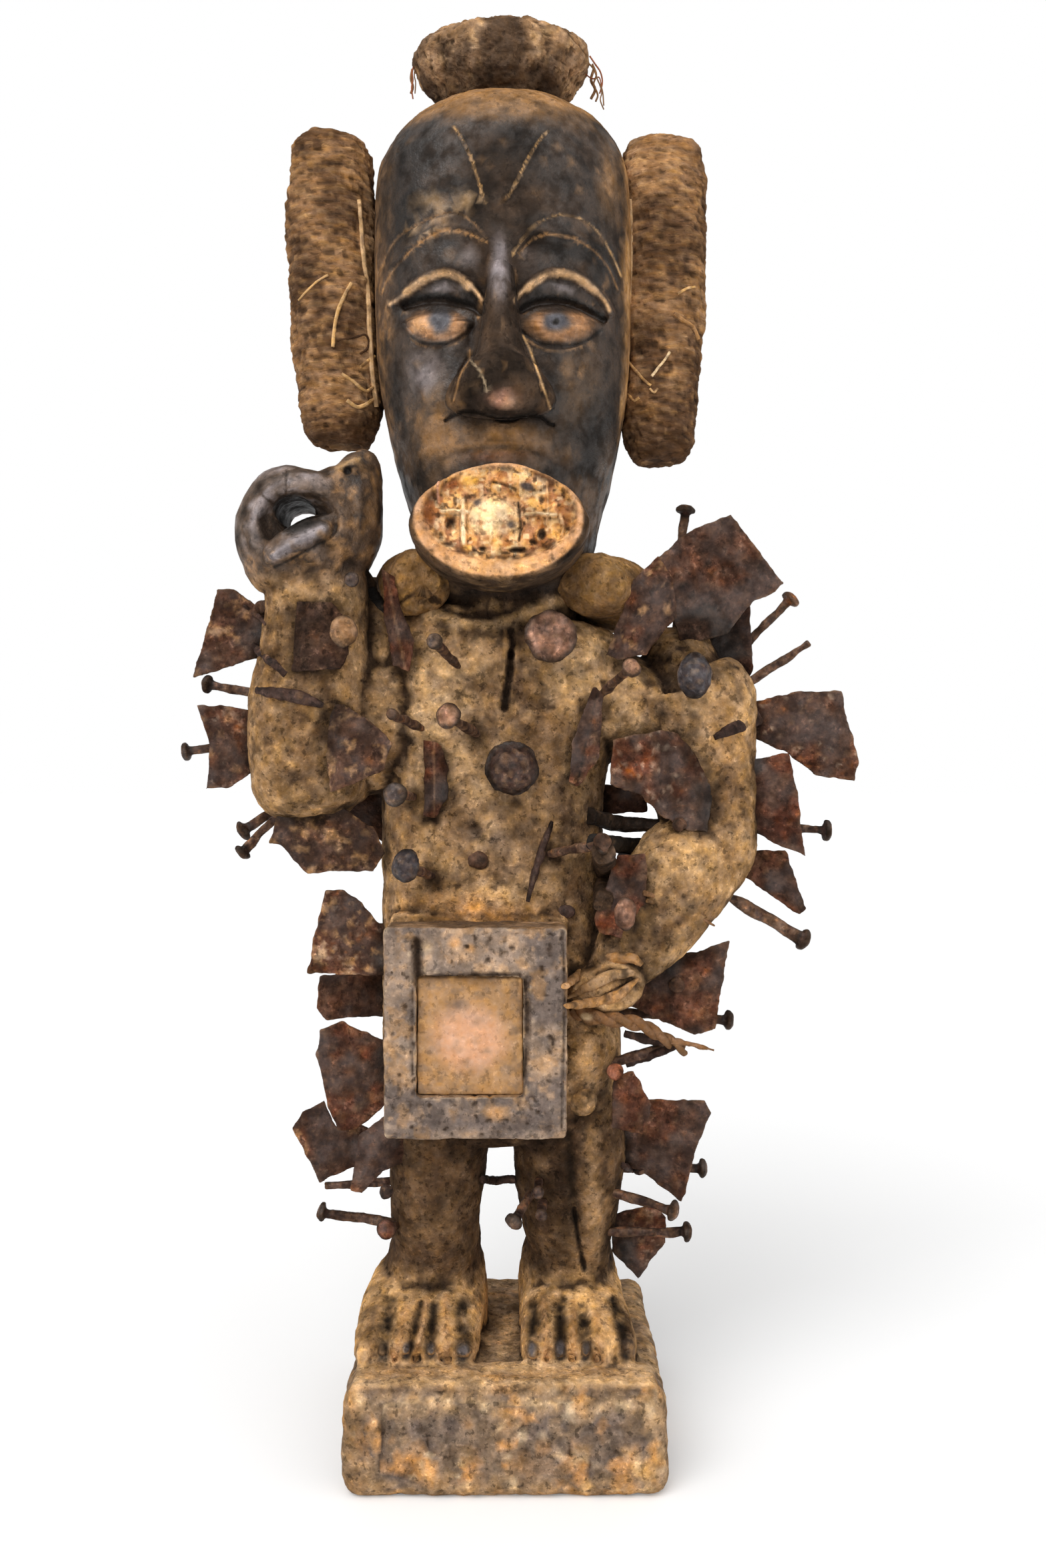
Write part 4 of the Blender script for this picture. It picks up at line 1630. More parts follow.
@dataclass
class Nails:
    """The iron nails and spikes, hammered in all round."""

    finishes: Finishes
    shank: float = 2.5
    driven: float = 9.0
    grid: float = 0.75
    driven_nails: tuple[Nail, ...] = (
        Nail("nail_forearm_outer", (-174, -24, 440), (-141, -30, 434), 5.2),
        Nail("nail_elbow_outer", (-189, -14, 401), (-144, -14, 407), 5.4),
        Nail("nail_under_elbow_front", (-152, -30, 355), (-129, -22, 370), 6.2),
        Nail("nail_under_elbow_back", (-156, -12, 341), (-130, -8, 370), 5.4),
        Nail("nail_wrist", (-86, -84, 464), (-89, -60, 467), 8.9, 0.3, Tone.RUST_TAN, 0.8, 0.2),
        Nail("nail_chest_left", (-30, -90, 419), (-17, -52, 411), 6.8, 0.6, Tone.NAIL_TAN),
        Nail("nail_ribs_left", (-59, -84, 377), (-52, -50, 375), 6.5, 0.6, Tone.NAIL_GREY),
        Nail("nail_belly_left", (-53, -88, 339), (-41, -52, 331), 9.3, 0.6, Tone.NAIL_BLUE, 0.85,
        0.4),
        Nail("nail_chest_right", (25, -64, 464), (25, -48, 465), 14.3, 0, Tone.NAIL_TAN, 1.0, 0.08),
        Nail("nail_chest_middle", (4, -70, 391), (3, -52, 391), 14.8, 0, Tone.RUST_DARK, 1.0, 0.55),
        Nail("nail_belly_right", (54, -78, 350), (25, -52, 343), 5.7, 1.2),
        Nail("nail_shoulder_top", (106, -8, 545), (101, -6, 476), 5.8, 1.6),
        Nail("nail_shoulder_outer", (173, 14, 495), (140, 14, 461), 5.9, 1.4, Tone.RUST_ORANGE),
        Nail("spike_shoulder_outer", (180, -10, 466), (142, -10, 441), 2.0, 0.6),
        Nail("nail_shoulder_front", (104, -64, 442), (107, -36, 443), 12.6, 0.3, Tone.NAIL_BLUE,
        0.72,
             0.5),
        Nail("nail_right_arm_outer", (195, 12, 354), (144, 12, 356), 6.5, 0.8),
        Nail("nail_right_elbow", (176, -10, 290), (130, -20, 317), 6.6, -3.0, Tone.RUST_BROWN,
             stout=1.4),
        Nail("nail_right_waist", (65, -76, 312), (66, -50, 310), 9.0, 0.3, Tone.NAIL_TAN, 0.68,
        0.4),
        Nail("nail_right_hip", (132, -10, 243), (60, -10, 248), 5.8, 1.0),
        Nail("spike_right_hip", (102, -40, 236), (58, -34, 222), 2.3, 1.0),
        Nail("nail_right_thigh", (119, 8, 150), (64, 8, 150), 5.9, 1.0),
        Nail("nail_right_leg_upper", (96, -40, 140), (58, -22, 146), 6.0, 1.4, Tone.RUST_BROWN),
        Nail("nail_right_leg_lower", (106, -22, 122), (60, -16, 120), 5.7, 0.6),
        Nail("spike_left_thigh", (-111, 6, 140), (-70, 6, 143), 2.4, 1.0),
        Nail("nail_left_leg_outer", (-109, -14, 131), (-68, -14, 125), 5.8, 1.0),
    )
    small_nails: tuple[Nail, ...] = (
        Nail("small_nail_chest", (-38, -84, 459), (-27, -50, 449), 4.6, 0.8, Tone.NAIL_GREY),
        Nail("small_nail_ribs", (-61, -82, 420), (-48, -50, 414), 3.2, 0.6),
        Nail("small_nail_shoulder", (68, -84, 445), (55, -48, 433), 5.3, 0.6, Tone.NAIL_TAN),
        Nail("small_nail_left_thigh", (-68, -38, 129), (-65, -20, 125), 5.7, 0.3, Tone.RUST_RED),
        Nail("small_nail_between_legs", (4, -42, 134), (16, -24, 147), 5.4, 0.3, Tone.NAIL_GREY),
        Nail("small_nail_wrist", (-83, -74, 493), (-86, -55, 496), 4.3, 0.3, Tone.NAIL_GREY),
        Nail("small_nail_right_leg_a", (18, -52, 154), (19, -34, 155), 3.6, 0.2),
        Nail("small_nail_right_leg_b", (20, -52, 141), (21, -34, 142), 3.4, 0.2),
    )

    def build(self) -> None:
        """Make every nail."""
        for count, nail in enumerate(self.driven_nails + self.small_nails):
            piece = self.make(nail, 500 + 11 * count)
            if nail.node.startswith(("nail", "spike")):
                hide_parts(nail.node)
        LOG.info("nails: %d", len(self.driven_nails) + len(self.small_nails))

    def make(self, nail: Nail, seed: int) -> bpy.types.Object:
        """Make one nail with a bent, squarish shank and a hammered head.

        Args:
            nail: its places and look.
            seed: picks its unevenness.

        Returns:
            The finished nail.
        """
        head, foot = np.array(nail.head, float), np.array(nail.foot, float)
        along = head - foot
        length = np.linalg.norm(along)
        along /= length
        side = np.cross(along, (0.3, 0.2, 0.93))
        side /= np.linalg.norm(side)
        other = np.cross(along, side)
        picks = hashed(np.arange(24).reshape(8, 3), seed) - 0.5
        stations: list[Station] = []
        steps = 7
        for k in range(steps):
            share = k / (steps - 1)
            sway = math.sin(share * math.pi) * nail.bend * (1 if k % 2 else 0.6)
            centre = foot - along * self.driven + along * (length + self.driven - 1.5) * share
            centre = centre + side * sway + other * picks[k % 8] * 1.2 * share
            thick = self.shank * nail.stout * (0.55 + 0.5 * min(share * 3,
                1)) * (1 + 0.24 * picks[(k + 3) % 8])
            if nail.node.startswith("spike"):
                thick *= 1.05 if share < 0.8 else 0.8
            stations.append((*centre, thick, thick * 0.92, 3.0))
        front = FRONT if abs(along[1]) < 0.8 else UP
        parts = [Bench.loft("shank", tuple(stations), 12, 26, front)]
        if not nail.node.startswith("spike"):
            rise = nail.cap * nail.dome
            cap = tuple(
                (*(head + along * lift), nail.cap * wide * nail.oval, nail.cap * wide, 2.0)
                for lift, wide in (
                    (-3.2, 0.55), (-2.2, 0.96), (-0.8, 1.0), (0.1, 0.93), (0.4 + rise * 0.7, 0.6),
                    (0.5 + rise, 0.2),
                )
            )
            parts.append(Bench.loft("cap", cap, 28, 20, UP if abs(along[1]) >= 0.6 else FRONT))
        name = nail.node + "_hammered"
        piece = Bench.join(name, parts)
        Bench.fuse(piece, self.grid, 1)
        clay = Clay(piece)
        near = soften(nail.cap * 1.3 - np.linalg.norm(clay.points - head, axis=1), 0, 2)
        dents = layered(clay.points, 6, 2, seed) * (0.35 + 0.06 * nail.cap * near)
        clay.move(dents + 0.2 * layered(clay.points, 2.4, 2, seed + 1))
        clay.look()
        Bench.thin(piece, 2200 if nail.cap < 8 else 4200)
        clay = Clay(piece)
        near = soften(nail.cap * 1.3 - np.linalg.norm(clay.points - head, axis=1), 0, 2)
        small = layered(clay.points, 3.6, 3, seed + 5)
        hollow = np.clip(clay.hollows(2) / 0.2, -1, 1)
        clay.dye(Tone.RUST_DARK, 1)
        clay.dye(Tone.RUST_BROWN, soften(small, -0.2, 0.5) * 0.6)
        clay.dye(Tone.RUST_ORANGE, soften(small, 0.35, 0.7) * 0.4)
        clay.dye(nail.tone, near * (0.75 + 0.25 * small))
        clay.dye(Tone.RUST_DARK, near * soften(layered(clay.points, 7, 2, seed + 9), 0.1,
            0.6) * 0.45)
        clay.dye(Tone.RUST_TAN, soften(-hollow, 0.3, 1) * 0.35)
        clay.dye(Tone.SOOT, soften(hollow, 0.2, 1) * 0.6)
        edge = soften(np.linalg.norm(clay.points - head, axis=1) / nail.cap, 0.72, 1.0)
        clay.dye(Tone.SOOT, near * edge * 0.6)
        clay.crust = np.full(len(clay.points), 0.6)
        clay.gloss = soften(small, -0.5, 0.5) * 0.8
        clay.paint()
        piece.data.materials.append(self.finishes.iron)
        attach(piece, "root")
        return piece


# Bundles, roll and root


def thread(
    name: str, path: tuple[Place, ...], radius: float, sides: int = 6, rings: int = 16
) -> bpy.types.Object:
    """A single strand along a smooth path.

    Args:
        name: the strand's name.
        path: its points in millimetres.
        radius: its radius.
        sides: sides round.
        rings: rings along.

    Returns:
        The strand.
    """
    rise = max(abs(path[-1][k] - path[0][k]) for k in (0, 2))
    front = FRONT if rise > abs(path[-1][1] - path[0][1]) else UP
    stations = tuple((*p, radius, radius, 2.0) for p in path)
    return Bench.loft(name, stations, sides, rings, front)


@dataclass
class EarBundle:
    """A bundle of wound fibre tied to the side of the head."""

    finishes: Finishes
    node: str
    stations: tuple[Station, ...]
    seed: int
    inner: float
    strands: tuple[tuple[tuple[Seen, ...], float, Tone], ...]
    hanging: tuple[tuple[tuple[Seen, ...], float], ...] = ()

    def build(self) -> bpy.types.Object:
        """Wind the bundle and lay its loose strands on it.

        Returns:
            The finished piece.
        """
        piece = Bench.loft(self.node + "_wound", self.stations, 150, 190)
        clay = Clay(piece)
        points = clay.points
        wind = layered(points, (22, 22, 2.2), 2, self.seed)
        lumps = layered(points, (16, 16, 20), 2, self.seed + 3)
        fray = layered(points, 3, 2, self.seed + 5)
        rough = layered(points, 6, 2, self.seed + 15)
        turn = points[:, 2] + 0.35 * points[:, 0] + 5 * layered(points, 30, 2, self.seed + 17)
        wraps = np.abs(np.sin(math.pi * turn / 6.5))
        clay.move(0.3 * wind + 1.9 * lumps + 0.7 * rough + 0.5 * fray + 0.6 * wraps)
        clay.look()
        dents = soften(layered(points, (10, 10, 7), 2, self.seed + 7), 0.25, 0.6)
        clay.move(-0.7 * dents)
        clay.look()
        wind = layered(clay.points, (24, 24, 1.7), 2, self.seed)
        broad = layered(clay.points, 24, 3, self.seed + 9)
        small = layered(clay.points, (7, 7, 3), 2, self.seed + 11)
        hollow = np.clip(clay.hollows(3) / 0.3, -1, 1)
        clay.dye(Tone.BUNDLE_BROWN, 1)
        clay.dye(Tone.BUNDLE_DARK, soften(-broad + small * 0.4, 0.0, 0.6) * 0.8)
        clay.dye(Tone.STRAND, soften(wind + small, 0.5, 1.3) * 0.35)
        clay.dye(Tone.WORN_OCHRE, soften(broad + small, 0.1, 0.9) * 0.6)
        clay.dye(Tone.BUNDLE_DARK, soften(layered(clay.points, 20, 3, self.seed + 21), -0.1,
            0.5) * 0.7)
        toward = soften((clay.points[:, 0] - self.inner) * math.copysign(1, self.inner), 12, 0)
        ahead = soften(-clay.facing[:, 1], 0, 0.5)
        clay.dye(Tone.SAND, toward * ahead * (0.45 + 0.3 * small))
        low = soften(-clay.points[:, 2], -615, -590)
        clay.dye(Tone.BUNDLE_DARK, low * 0.6)
        clay.dye(Tone.UNDERSIDE, soften(hollow, 0.2, 1.0) * 0.55)
        clay.dye(Tone.STRAND, soften(-hollow, 0.4, 1) * 0.25)
        clay.crust = np.full(len(clay.points), 0.75)
        clay.paint()
        piece.data.materials.append(self.finishes.fibre)
        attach(piece, "root")
        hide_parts(self.node)
        self.lay_strands(clay)
        LOG.info("%s: %d faces", self.node, len(piece.data.polygons))
        return piece

    def lay_strands(self, clay: Clay) -> None:
        """Lay the loose strands on the bundle's front, and let the hanging ones fall."""
        front = clay.facing[:, 1] < -0.2
        skin = clay.points[front]
        across, down = clay.across[front], clay.down[front]
        for count, (path, radius, tone) in enumerate(self.strands):
            places: list[Place] = []
            fine = along_curve(np.array(path, float), np.linspace(0, 1, 7))
            for u, v in fine:
                nearest = int(np.argmin((across - u) ** 2 + (down - v) ** 2))
                places.append(behind((u, v), skin[nearest, 1] - radius * 0.3))
            strand = thread(f"{self.node}_strand_{count}", tuple(places), radius, 8, 24)
            self.dress(strand, tone, count)
        for count, (path, radius) in enumerate(self.hanging):
            places = [behind(spot, -4.0 - 2 * count) for spot in path]
            strand = thread(f"{self.node}_thread_{count}", tuple(places), radius, 6, 20)
            self.dress(strand, Tone.BUNDLE_DARK, count + 40)

    def dress(self, strand: bpy.types.Object, tone: Tone, seed: int) -> None:
        """Colour one strand and tie it to the figure."""
        clay = Clay(strand)
        clay.move(0.25 * layered(clay.points, 3, 2, self.seed + seed))
        clay.look()
        clay.dye(tone, 1)
        clay.dye(Tone.BUNDLE_DARK, soften(layered(clay.points, 4, 2, seed), 0.0, 0.6) * 0.5)
        clay.crust = np.full(len(clay.points), 0.5)
        clay.paint()
        strand.data.materials.append(self.finishes.strand)
        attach(strand, "root")


@dataclass
class CrownBundle:
    """The lumpy packed bundle on top of the head."""

    finishes: Finishes
    stations: tuple[Station, ...] = (
        (-3, -1, 776, 26, 30, 2), (-3, -1, 781, 33, 36, 2), (-3, -1, 787, 37, 40, 2),
        (-3, -1, 793, 42, 42, 2.1), (-3, -1, 800, 48, 44.5, 2.1), (-3, -1, 807, 52.5, 46, 2.1),
        (-3, -1, 814, 51.5, 44, 2.1), (-3, -1, 820, 43, 37, 2), (-3, -1, 825, 28, 25, 2),
        (-3, -1, 827, 11, 11, 2),
    )
    threads: tuple[tuple[tuple[Seen, ...], float], ...] = (
        (((622, 92), (618, 108), (619, 120), (617, 132), (619, 148)), 0.5),
        (((624, 96), (621, 112), (623, 124), (622, 140)), 0.4),
        (((618, 104), (616, 118), (619, 130), (616, 140)), 0.8),
        (((884, 84), (892, 96), (900, 108), (903, 124), (899, 140)), 0.5),
        (((880, 92), (890, 104), (896, 120), (903, 136), (905, 158)), 0.45),
        (((888, 96), (894, 112), (890, 126), (896, 142), (893, 152)), 0.6),
        (((876, 110), (888, 118), (898, 116), (902, 130)), 0.4),
        (((890, 104), (886, 120), (892, 134), (886, 148)), 0.9),
        (((898, 124), (902, 138), (900, 150), (905, 164)), 0.4),
    )

    def build(self) -> bpy.types.Object:
        """Pack the bundle and hang its threads.

        Returns:
            The finished piece.
        """
        piece = Bench.loft("crown_bundle_packed", self.stations, 170, 110)
        clay = Clay(piece)
        points = clay.points
        lumps = layered(points, (20, 20, 15), 2, 811)
        creases = 1 - np.abs(grain(points, (15, 15, 11), 823)) * 2.2
        fine = layered(points, 4, 3, 829)
        clay.move(2.2 * lumps - 1.5 * np.clip(creases, 0, 1) + 1.1 * fine)
        clay.look()
        pits = soften(layered(clay.points, 6, 2, 831), 0.3, 0.6)
        clay.move(-0.8 * pits)
        clay.look()
        broad = layered(clay.points, 22, 3, 833)
        small = layered(clay.points, 6, 3, 839)
        hollow = np.clip(clay.hollows(4) / 0.5, -1, 1)
        clay.dye(Tone.CROWN_BROWN, 1)
        clay.dye(Tone.CROWN_DARK, soften(broad, -0.2, 0.5) * 0.75)
        clay.dye(Tone.SAND, soften(small - broad * 0.5, 0.2, 0.8) * 0.55)
        clay.dye(Tone.WORN_OCHRE, soften(clay.points[:, 2] + 6 * small, 810, 828) * 0.6)
        clay.dye(Tone.UNDERSIDE, soften(hollow, 0.15, 0.9) * 0.6)
        clay.dye(Tone.UNDERSIDE, soften(-clay.points[:, 2], -796, -782) * 0.6)
        clay.crust = np.full(len(clay.points), 0.8)
        clay.paint()
        piece.data.materials.append(self.finishes.cloth)
        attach(piece, "root")
        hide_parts("crown_bundle")
        for count, (path, radius) in enumerate(self.threads):
            places = tuple(behind(spot, -6.0 + 3 * (count % 4)) for spot in path)
            strand = thread(f"crown_thread_{count}", places, radius, 6, 20)
            loose = Clay(strand)
            loose.dye(Tone.BUNDLE_BROWN if count % 3 else Tone.LUMP_RED, 1)
            loose.paint()
            strand.data.materials.append(self.finishes.strand)
            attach(strand, "root")
        LOG.info("crown bundle: %d faces", len(piece.data.polygons))
        return piece


@dataclass
class NeckRoll:
    """The thick roll of caked cloth that lies round the neck."""

    finishes: Finishes
    stations: tuple[Station, ...] = (
        (-46, -49, 495, 9, 9, 2), (-48, -44, 496, 16, 17, 2.1), (-53, -26, 496, 19, 19, 2.2),
        (-60, 2, 494, 19, 19, 2.2), (-42, 38, 492, 18, 18, 2.2), (4, 53, 492, 18, 18, 2.2),
        (50, 38, 492, 18, 18, 2.2), (66, 2, 494, 20, 19, 2.2), (57, -24, 496, 22, 18, 2.2),
        (47, -40, 497, 22, 16, 2.1), (43, -47, 497, 13, 9, 2),
    )
    folds: tuple[Mark, ...] = (
        Line(((596, 905), (625, 890), (660, 902)), 6, -1.6, Tone.UNDERSIDE, 0.6),
        Line(((640, 835), (660, 860), (676, 900)), 7, -1.4, Tone.UNDERSIDE, 0.5),
        Line(((944, 862), (914, 872), (890, 892), (868, 915)), 12, -1.0, Tone.EARTH, 0.5),
        Line(((930, 850), (900, 872), (876, 896)), 14, 1.2, Tone.ROLL_LIGHT, 0.5),
        Line(((862, 840), (880, 832), (905, 830)), 8, 1.2, Tone.ROLL_LIGHT, 0.5),
        Line(((600, 850), (612, 836), (630, 828)), 8, 1.2, Tone.ROLL_LIGHT, 0.5),
    )

    def build(self) -> bpy.types.Object:
        """Roll the cloth and cake it with earth.

        Returns:
            The finished piece.
        """
        piece = Bench.loft("neck_roll_caked", self.stations, 90, 200, UP)
        clay = Clay(piece)
        ahead = soften(-clay.facing[:, 1], 0.0, 0.4) * soften(-clay.points[:, 1], 20, 30)
        clay.mark(self.folds, ahead, True)
        clay.look()
        points = clay.points
        clay.move(2.4 * layered(points, 22, 2, 911) + 0.7 * layered(points, 5, 3, 917))
        clay.look()
        ahead = soften(-clay.facing[:, 1], 0.0, 0.4) * soften(-clay.points[:, 1], 20, 30)
        broad = layered(clay.points, 20, 3, 919)
        small = layered(clay.points, 5, 3, 921)
        hollow = np.clip(clay.hollows(3) / 0.4, -1, 1)
        clay.dye(Tone.ROLL_EARTH, 1)
        clay.dye(Tone.ROLL_LIGHT, soften(broad + small * 0.5, 0.0, 0.7) * 0.7)
        clay.dye(Tone.EARTH, soften(-broad, 0.0, 0.6) * 0.6)
        clay.mark(self.folds, ahead, False)
        clay.dye(Tone.UNDERSIDE, soften(hollow, 0.2, 1.0) * 0.7)
        clay.crust = np.full(len(clay.points), 0.8)
        clay.paint()
        piece.data.materials.append(self.finishes.cloth)
        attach(piece, "root")
        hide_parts("neck_roll")
        LOG.info("neck roll: %d faces", len(piece.data.polygons))
        return piece


@dataclass
class HipRoot:
    """The twisted root tucked between the hand and the blade."""

    finishes: Finishes
    path: tuple[Place, ...] = (
        (38, -50, 256), (46, -58, 254), (61, -60, 252), (75, -58, 249), (88, -55, 241),
        (100, -54, 234)
    )
    turns: float = 3.2
    strand: float = 2.9
    apart: float = 1.9

    def build(self) -> bpy.types.Object:
        """Twist two strands together.

        Returns:
            The finished piece.
        """
        shares = np.linspace(0, 1, 26)
        centre = along_curve(np.array(self.path, float), shares)
        parts: list[bpy.types.Object] = []
        for start in (0.0, math.pi):
            angle = start + shares * self.turns * 2 * math.pi
            offset = np.stack([np.zeros(26), np.cos(angle), np.sin(angle)], axis=1) * self.apart
            size = self.strand * (1 - 0.35 * shares**2)
            stations = tuple(
                (*(c + o), float(s), float(s), 2.0) for c, o, s in zip(centre, offset, size)
            )
            parts.append(Bench.loft("root_strand", stations, 20, 90))
        piece = Bench.join("hip_root_twisted", parts)
        clay = Clay(piece)
        clay.move(0.3 * layered(clay.points, (8, 2.5, 2.5), 2, 951))
        clay.look()
        hollow = np.clip(clay.hollows(2) / 0.25, -1, 1)
        clay.dye(Tone.ROOT_TAN, 1)
        clay.dye(Tone.EARTH, soften(layered(clay.points, 9, 2, 953), 0.0, 0.6) * 0.6)
        cream = Patch((879, 1524), (13, 8), 0, Tone.ROOT_CREAM, 1.0, 8, 0.6)
        clay.mark((cream,), np.ones(len(clay.points)), False)
        clay.dye(Tone.UNDERSIDE, soften(hollow, 0.2, 1) * 0.6)
        clay.paint()
        piece.data.materials.append(self.finishes.root)
        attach(piece, "root")
        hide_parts("hip_root")
        LOG.info("hip root: %d faces", len(piece.data.polygons))
        return piece


@dataclass(frozen=True)
class Scrap:
    """A small bar, sliver or strand along a line on the picture.

    half is its half width along the line, thick its half thickness, lift how far it stands off the
    surface behind it and depth where it lies when nothing is behind it.
    """

    name: str
    path: tuple[Seen, ...]
    half: tuple[float, ...]
    thick: float
    tone: Tone
    lift: float = 0.0
    depth: float = -30.0
    square: float = 3.0


@dataclass
class Scraps:
    """The small slivers, shafts, strands and lumps lodged between the larger pieces."""

    finishes: Finishes
    iron: tuple[Scrap, ...] = (
        Scrap("wrist_shaft", ((381, 968), (402, 988), (430, 1012)), (1.8, 2.3, 2.1), 2.0,
        Tone.RUST_DARK),
        Scrap("wrist_wedge", ((381, 922), (392, 912), (404, 904)), (2.2, 4.2, 1.6), 1.2,
        Tone.RUST_BROWN),
        Scrap("wrist_spike", ((366, 907), (382, 920), (400, 936)), (0.7, 1.3, 1.3), 1.0,
        Tone.RUST_DARK),
        Scrap("forearm_plate_edge", ((389, 1035), (420, 1040), (452, 1046), (484, 1057)),
              (2.2, 3.4, 3.4, 1.4), 4.0, Tone.RUST_DARK),
        Scrap("belly_plate_edge", ((827, 1232), (813, 1272), (801, 1312), (791, 1350)),
              (1.0, 2.1, 1.8, 1.0), 6.0, Tone.RUST_DARK),
        Scrap("armpit_shard_upper", ((547, 852), (553, 878), (560, 900)), (1.2, 4.0, 4.4), 4.0,
              Tone.UNDERSIDE),
        Scrap("armpit_shard_lower", ((556, 884), (566, 908), (574, 936)), (3.0, 4.4, 1.6), 4.0,
              Tone.SOOT),
        Scrap("side_strip", ((880, 1222), (930, 1235), (986, 1236)), (4.4, 4.6, 3.6), 7.0,
              Tone.UNDERSIDE, 0.0, -18),
        Scrap("side_bar", ((892, 1262), (940, 1267), (988, 1268)), (4.4, 4.6, 4.2), 5.0, Tone.SOOT,
              0.0, -26),
        Scrap("waist_filler", ((905, 1278), (908, 1310), (904, 1352)), (6, 7, 5), 6.0,
              Tone.LEG_DARK, 0.0, -24),
        Scrap("side_plate", ((958, 1276), (966, 1310), (972, 1350)), (13, 15, 10), 1.6,
              Tone.RUST_DARK, -14, -14),
        Scrap("hip_strip", ((936, 1549), (965, 1557), (996, 1567)), (2.2, 2.5, 1.3), 2.4,
              Tone.RUST_DARK, 0.0, -42),
        Scrap("hip_strip_lower", ((938, 1594), (975, 1582), (1014, 1568)), (2.4, 2.4, 1.2), 2.0,
              Tone.RUST_DARK, 0.0, -36),
        Scrap("thigh_sliver", ((934, 1747), (948, 1752), (962, 1757)), (1.6, 1.9, 1.1), 2.0,
              Tone.RUST_DARK, 0.0, -16),
        Scrap("arm_spike", ((1070, 1106), (1100, 1092), (1134, 1076)), (1.6, 3.4, 4.6), 3.0,
              Tone.RUST_DARK, 1.5),
        Scrap("leg_spike", ((724, 1768), (746, 1769), (772, 1768)), (2.2, 2.3, 2.2), 2.2,
              Tone.RUST_DARK, 0.0, -6),
    )
    wood: tuple[Scrap, ...] = (
        Scrap("root_tip", ((1006, 1560), (1040, 1566), (1070, 1574)), (1.9, 1.4, 0.5), 1.3,
              Tone.ROOT_TAN, 0.0, -54, 2.0),
        Scrap("elbow_strand_a", ((966, 1338), (1000, 1352), (1035, 1367), (1070, 1387)),
              (1.4, 1.8, 1.8, 0.9), 1.6, Tone.ROOT_TAN, 0.8, -50, 2.0),
        Scrap("elbow_strand_b", ((970, 1350), (1000, 1358), (1032, 1362), (1058, 1372)),
              (1.3, 1.6, 1.5, 0.9), 1.4, Tone.EARTH, 1.2, -50, 2.0),
        Scrap("finger_leaf_upper", ((848, 1478), (876, 1455), (912, 1438), (946, 1436),
        (962, 1446)),
              (1.6, 3.2, 3.4, 2.8, 1.2), 2.6, Tone.WORN_OCHRE, 1.0, -64, 2.2),
        Scrap("finger_leaf_middle", ((852, 1494), (884, 1478), (918, 1462), (950, 1458)),
              (1.4, 2.8, 3.0, 1.4), 2.4, Tone.DUN, 1.6, -64, 2.2),
        Scrap("finger_leaf_lower", ((850, 1508), (890, 1502), (928, 1490), (958, 1466)),
              (1.4, 3.0, 2.8, 1.2), 2.4, Tone.WORN_OCHRE, 1.2, -64, 2.2),
    )
    lumps: tuple[tuple[str, Seen, Place, Tone], ...] = (
        ("knob_large", (873, 1650), (8.4, 7.5, 8.6), Tone.KNOB_TAN),
        ("knob_small", (903, 1660), (4.0, 4.5, 4.2), Tone.EARTH),
        ("red_lump_left", (898, 1614), (5.0, 4.5, 5.0), Tone.LUMP_RED),
        ("red_lump_right", (922, 1607), (4.7, 4.5, 5.0), Tone.LUMP_RED),
        ("arm_head", (1018, 1236), (4.2, 3.0, 4.2), Tone.RUST_BROWN),
        ("hip_plate_head", (1014, 1476), (4.6, 2.0, 4.6), Tone.RUST_BROWN),
        ("chest_head", (903, 1262), (4.8, 3.4, 5.0), Tone.RUST_BROWN),
        ("belly_head", (848, 1366), (5.6, 3.6, 4.0), Tone.RUST_DARK),
        ("ledge_head", (716, 1289), (5.6, 3.0, 4.8), Tone.RUST_BROWN),
        ("leg_head", (579, 1786), (4.0, 3.0, 4.0), Tone.RUST_DARK),
    )

    def build(self) -> None:
        """Lodge every small piece."""
        sight = Sight()
        for count, scrap in enumerate(self.iron + self.wood):
            places = [
                behind(spot, sight.depth(spot, scrap.depth) - scrap.lift) for spot in scrap.path
            ]
            stations = tuple(
                (*place, half, scrap.thick, scrap.square) for place, half in zip(places, scrap.half)
            )
            piece = Bench.loft(scrap.name, stations, 20, 40)
            metal = scrap in self.iron
            self.dress(piece, scrap.tone, 1300 + count,
                self.finishes.iron if metal else self.finishes.root)
        for count, (name, spot, radii, tone) in enumerate(self.lumps):
            centre = behind(spot, sight.depth(spot, -48) - radii[1] * 0.25)
            piece = Bench.ball(name, centre, radii, 32)
            self.dress(piece, tone, 1400 + count, self.finishes.iron)
        LOG.info("small pieces: %d", len(self.iron + self.wood) + len(self.lumps))

    @staticmethod
    def dress(piece: bpy.types.Object, tone: Tone, seed: int, finish: bpy.types.Material) -> None:
        """Roughen one small piece and colour it."""
        clay = Clay(piece)
        clay.move(0.7 * layered(clay.points, 6, 2, seed) + 0.3 * layered(clay.points, 2.2, 2,
            seed + 1))
        clay.look()
        clay.dye(tone, 1)
        clay.dye(Tone.SOOT, soften(layered(clay.points, 5, 2, seed + 2), 0.1, 0.7) * 0.5)
        clay.dye(Tone.RUST_TAN, soften(layered(clay.points, 4, 2, seed + 3), 0.3, 0.8) * 0.35)
        clay.crust = np.full(len(clay.points), 0.7)
        clay.gloss = np.full(len(clay.points), 0.3)
        clay.paint()
        piece.data.materials.append(finish)
        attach(piece, "root")


# The box on the belly


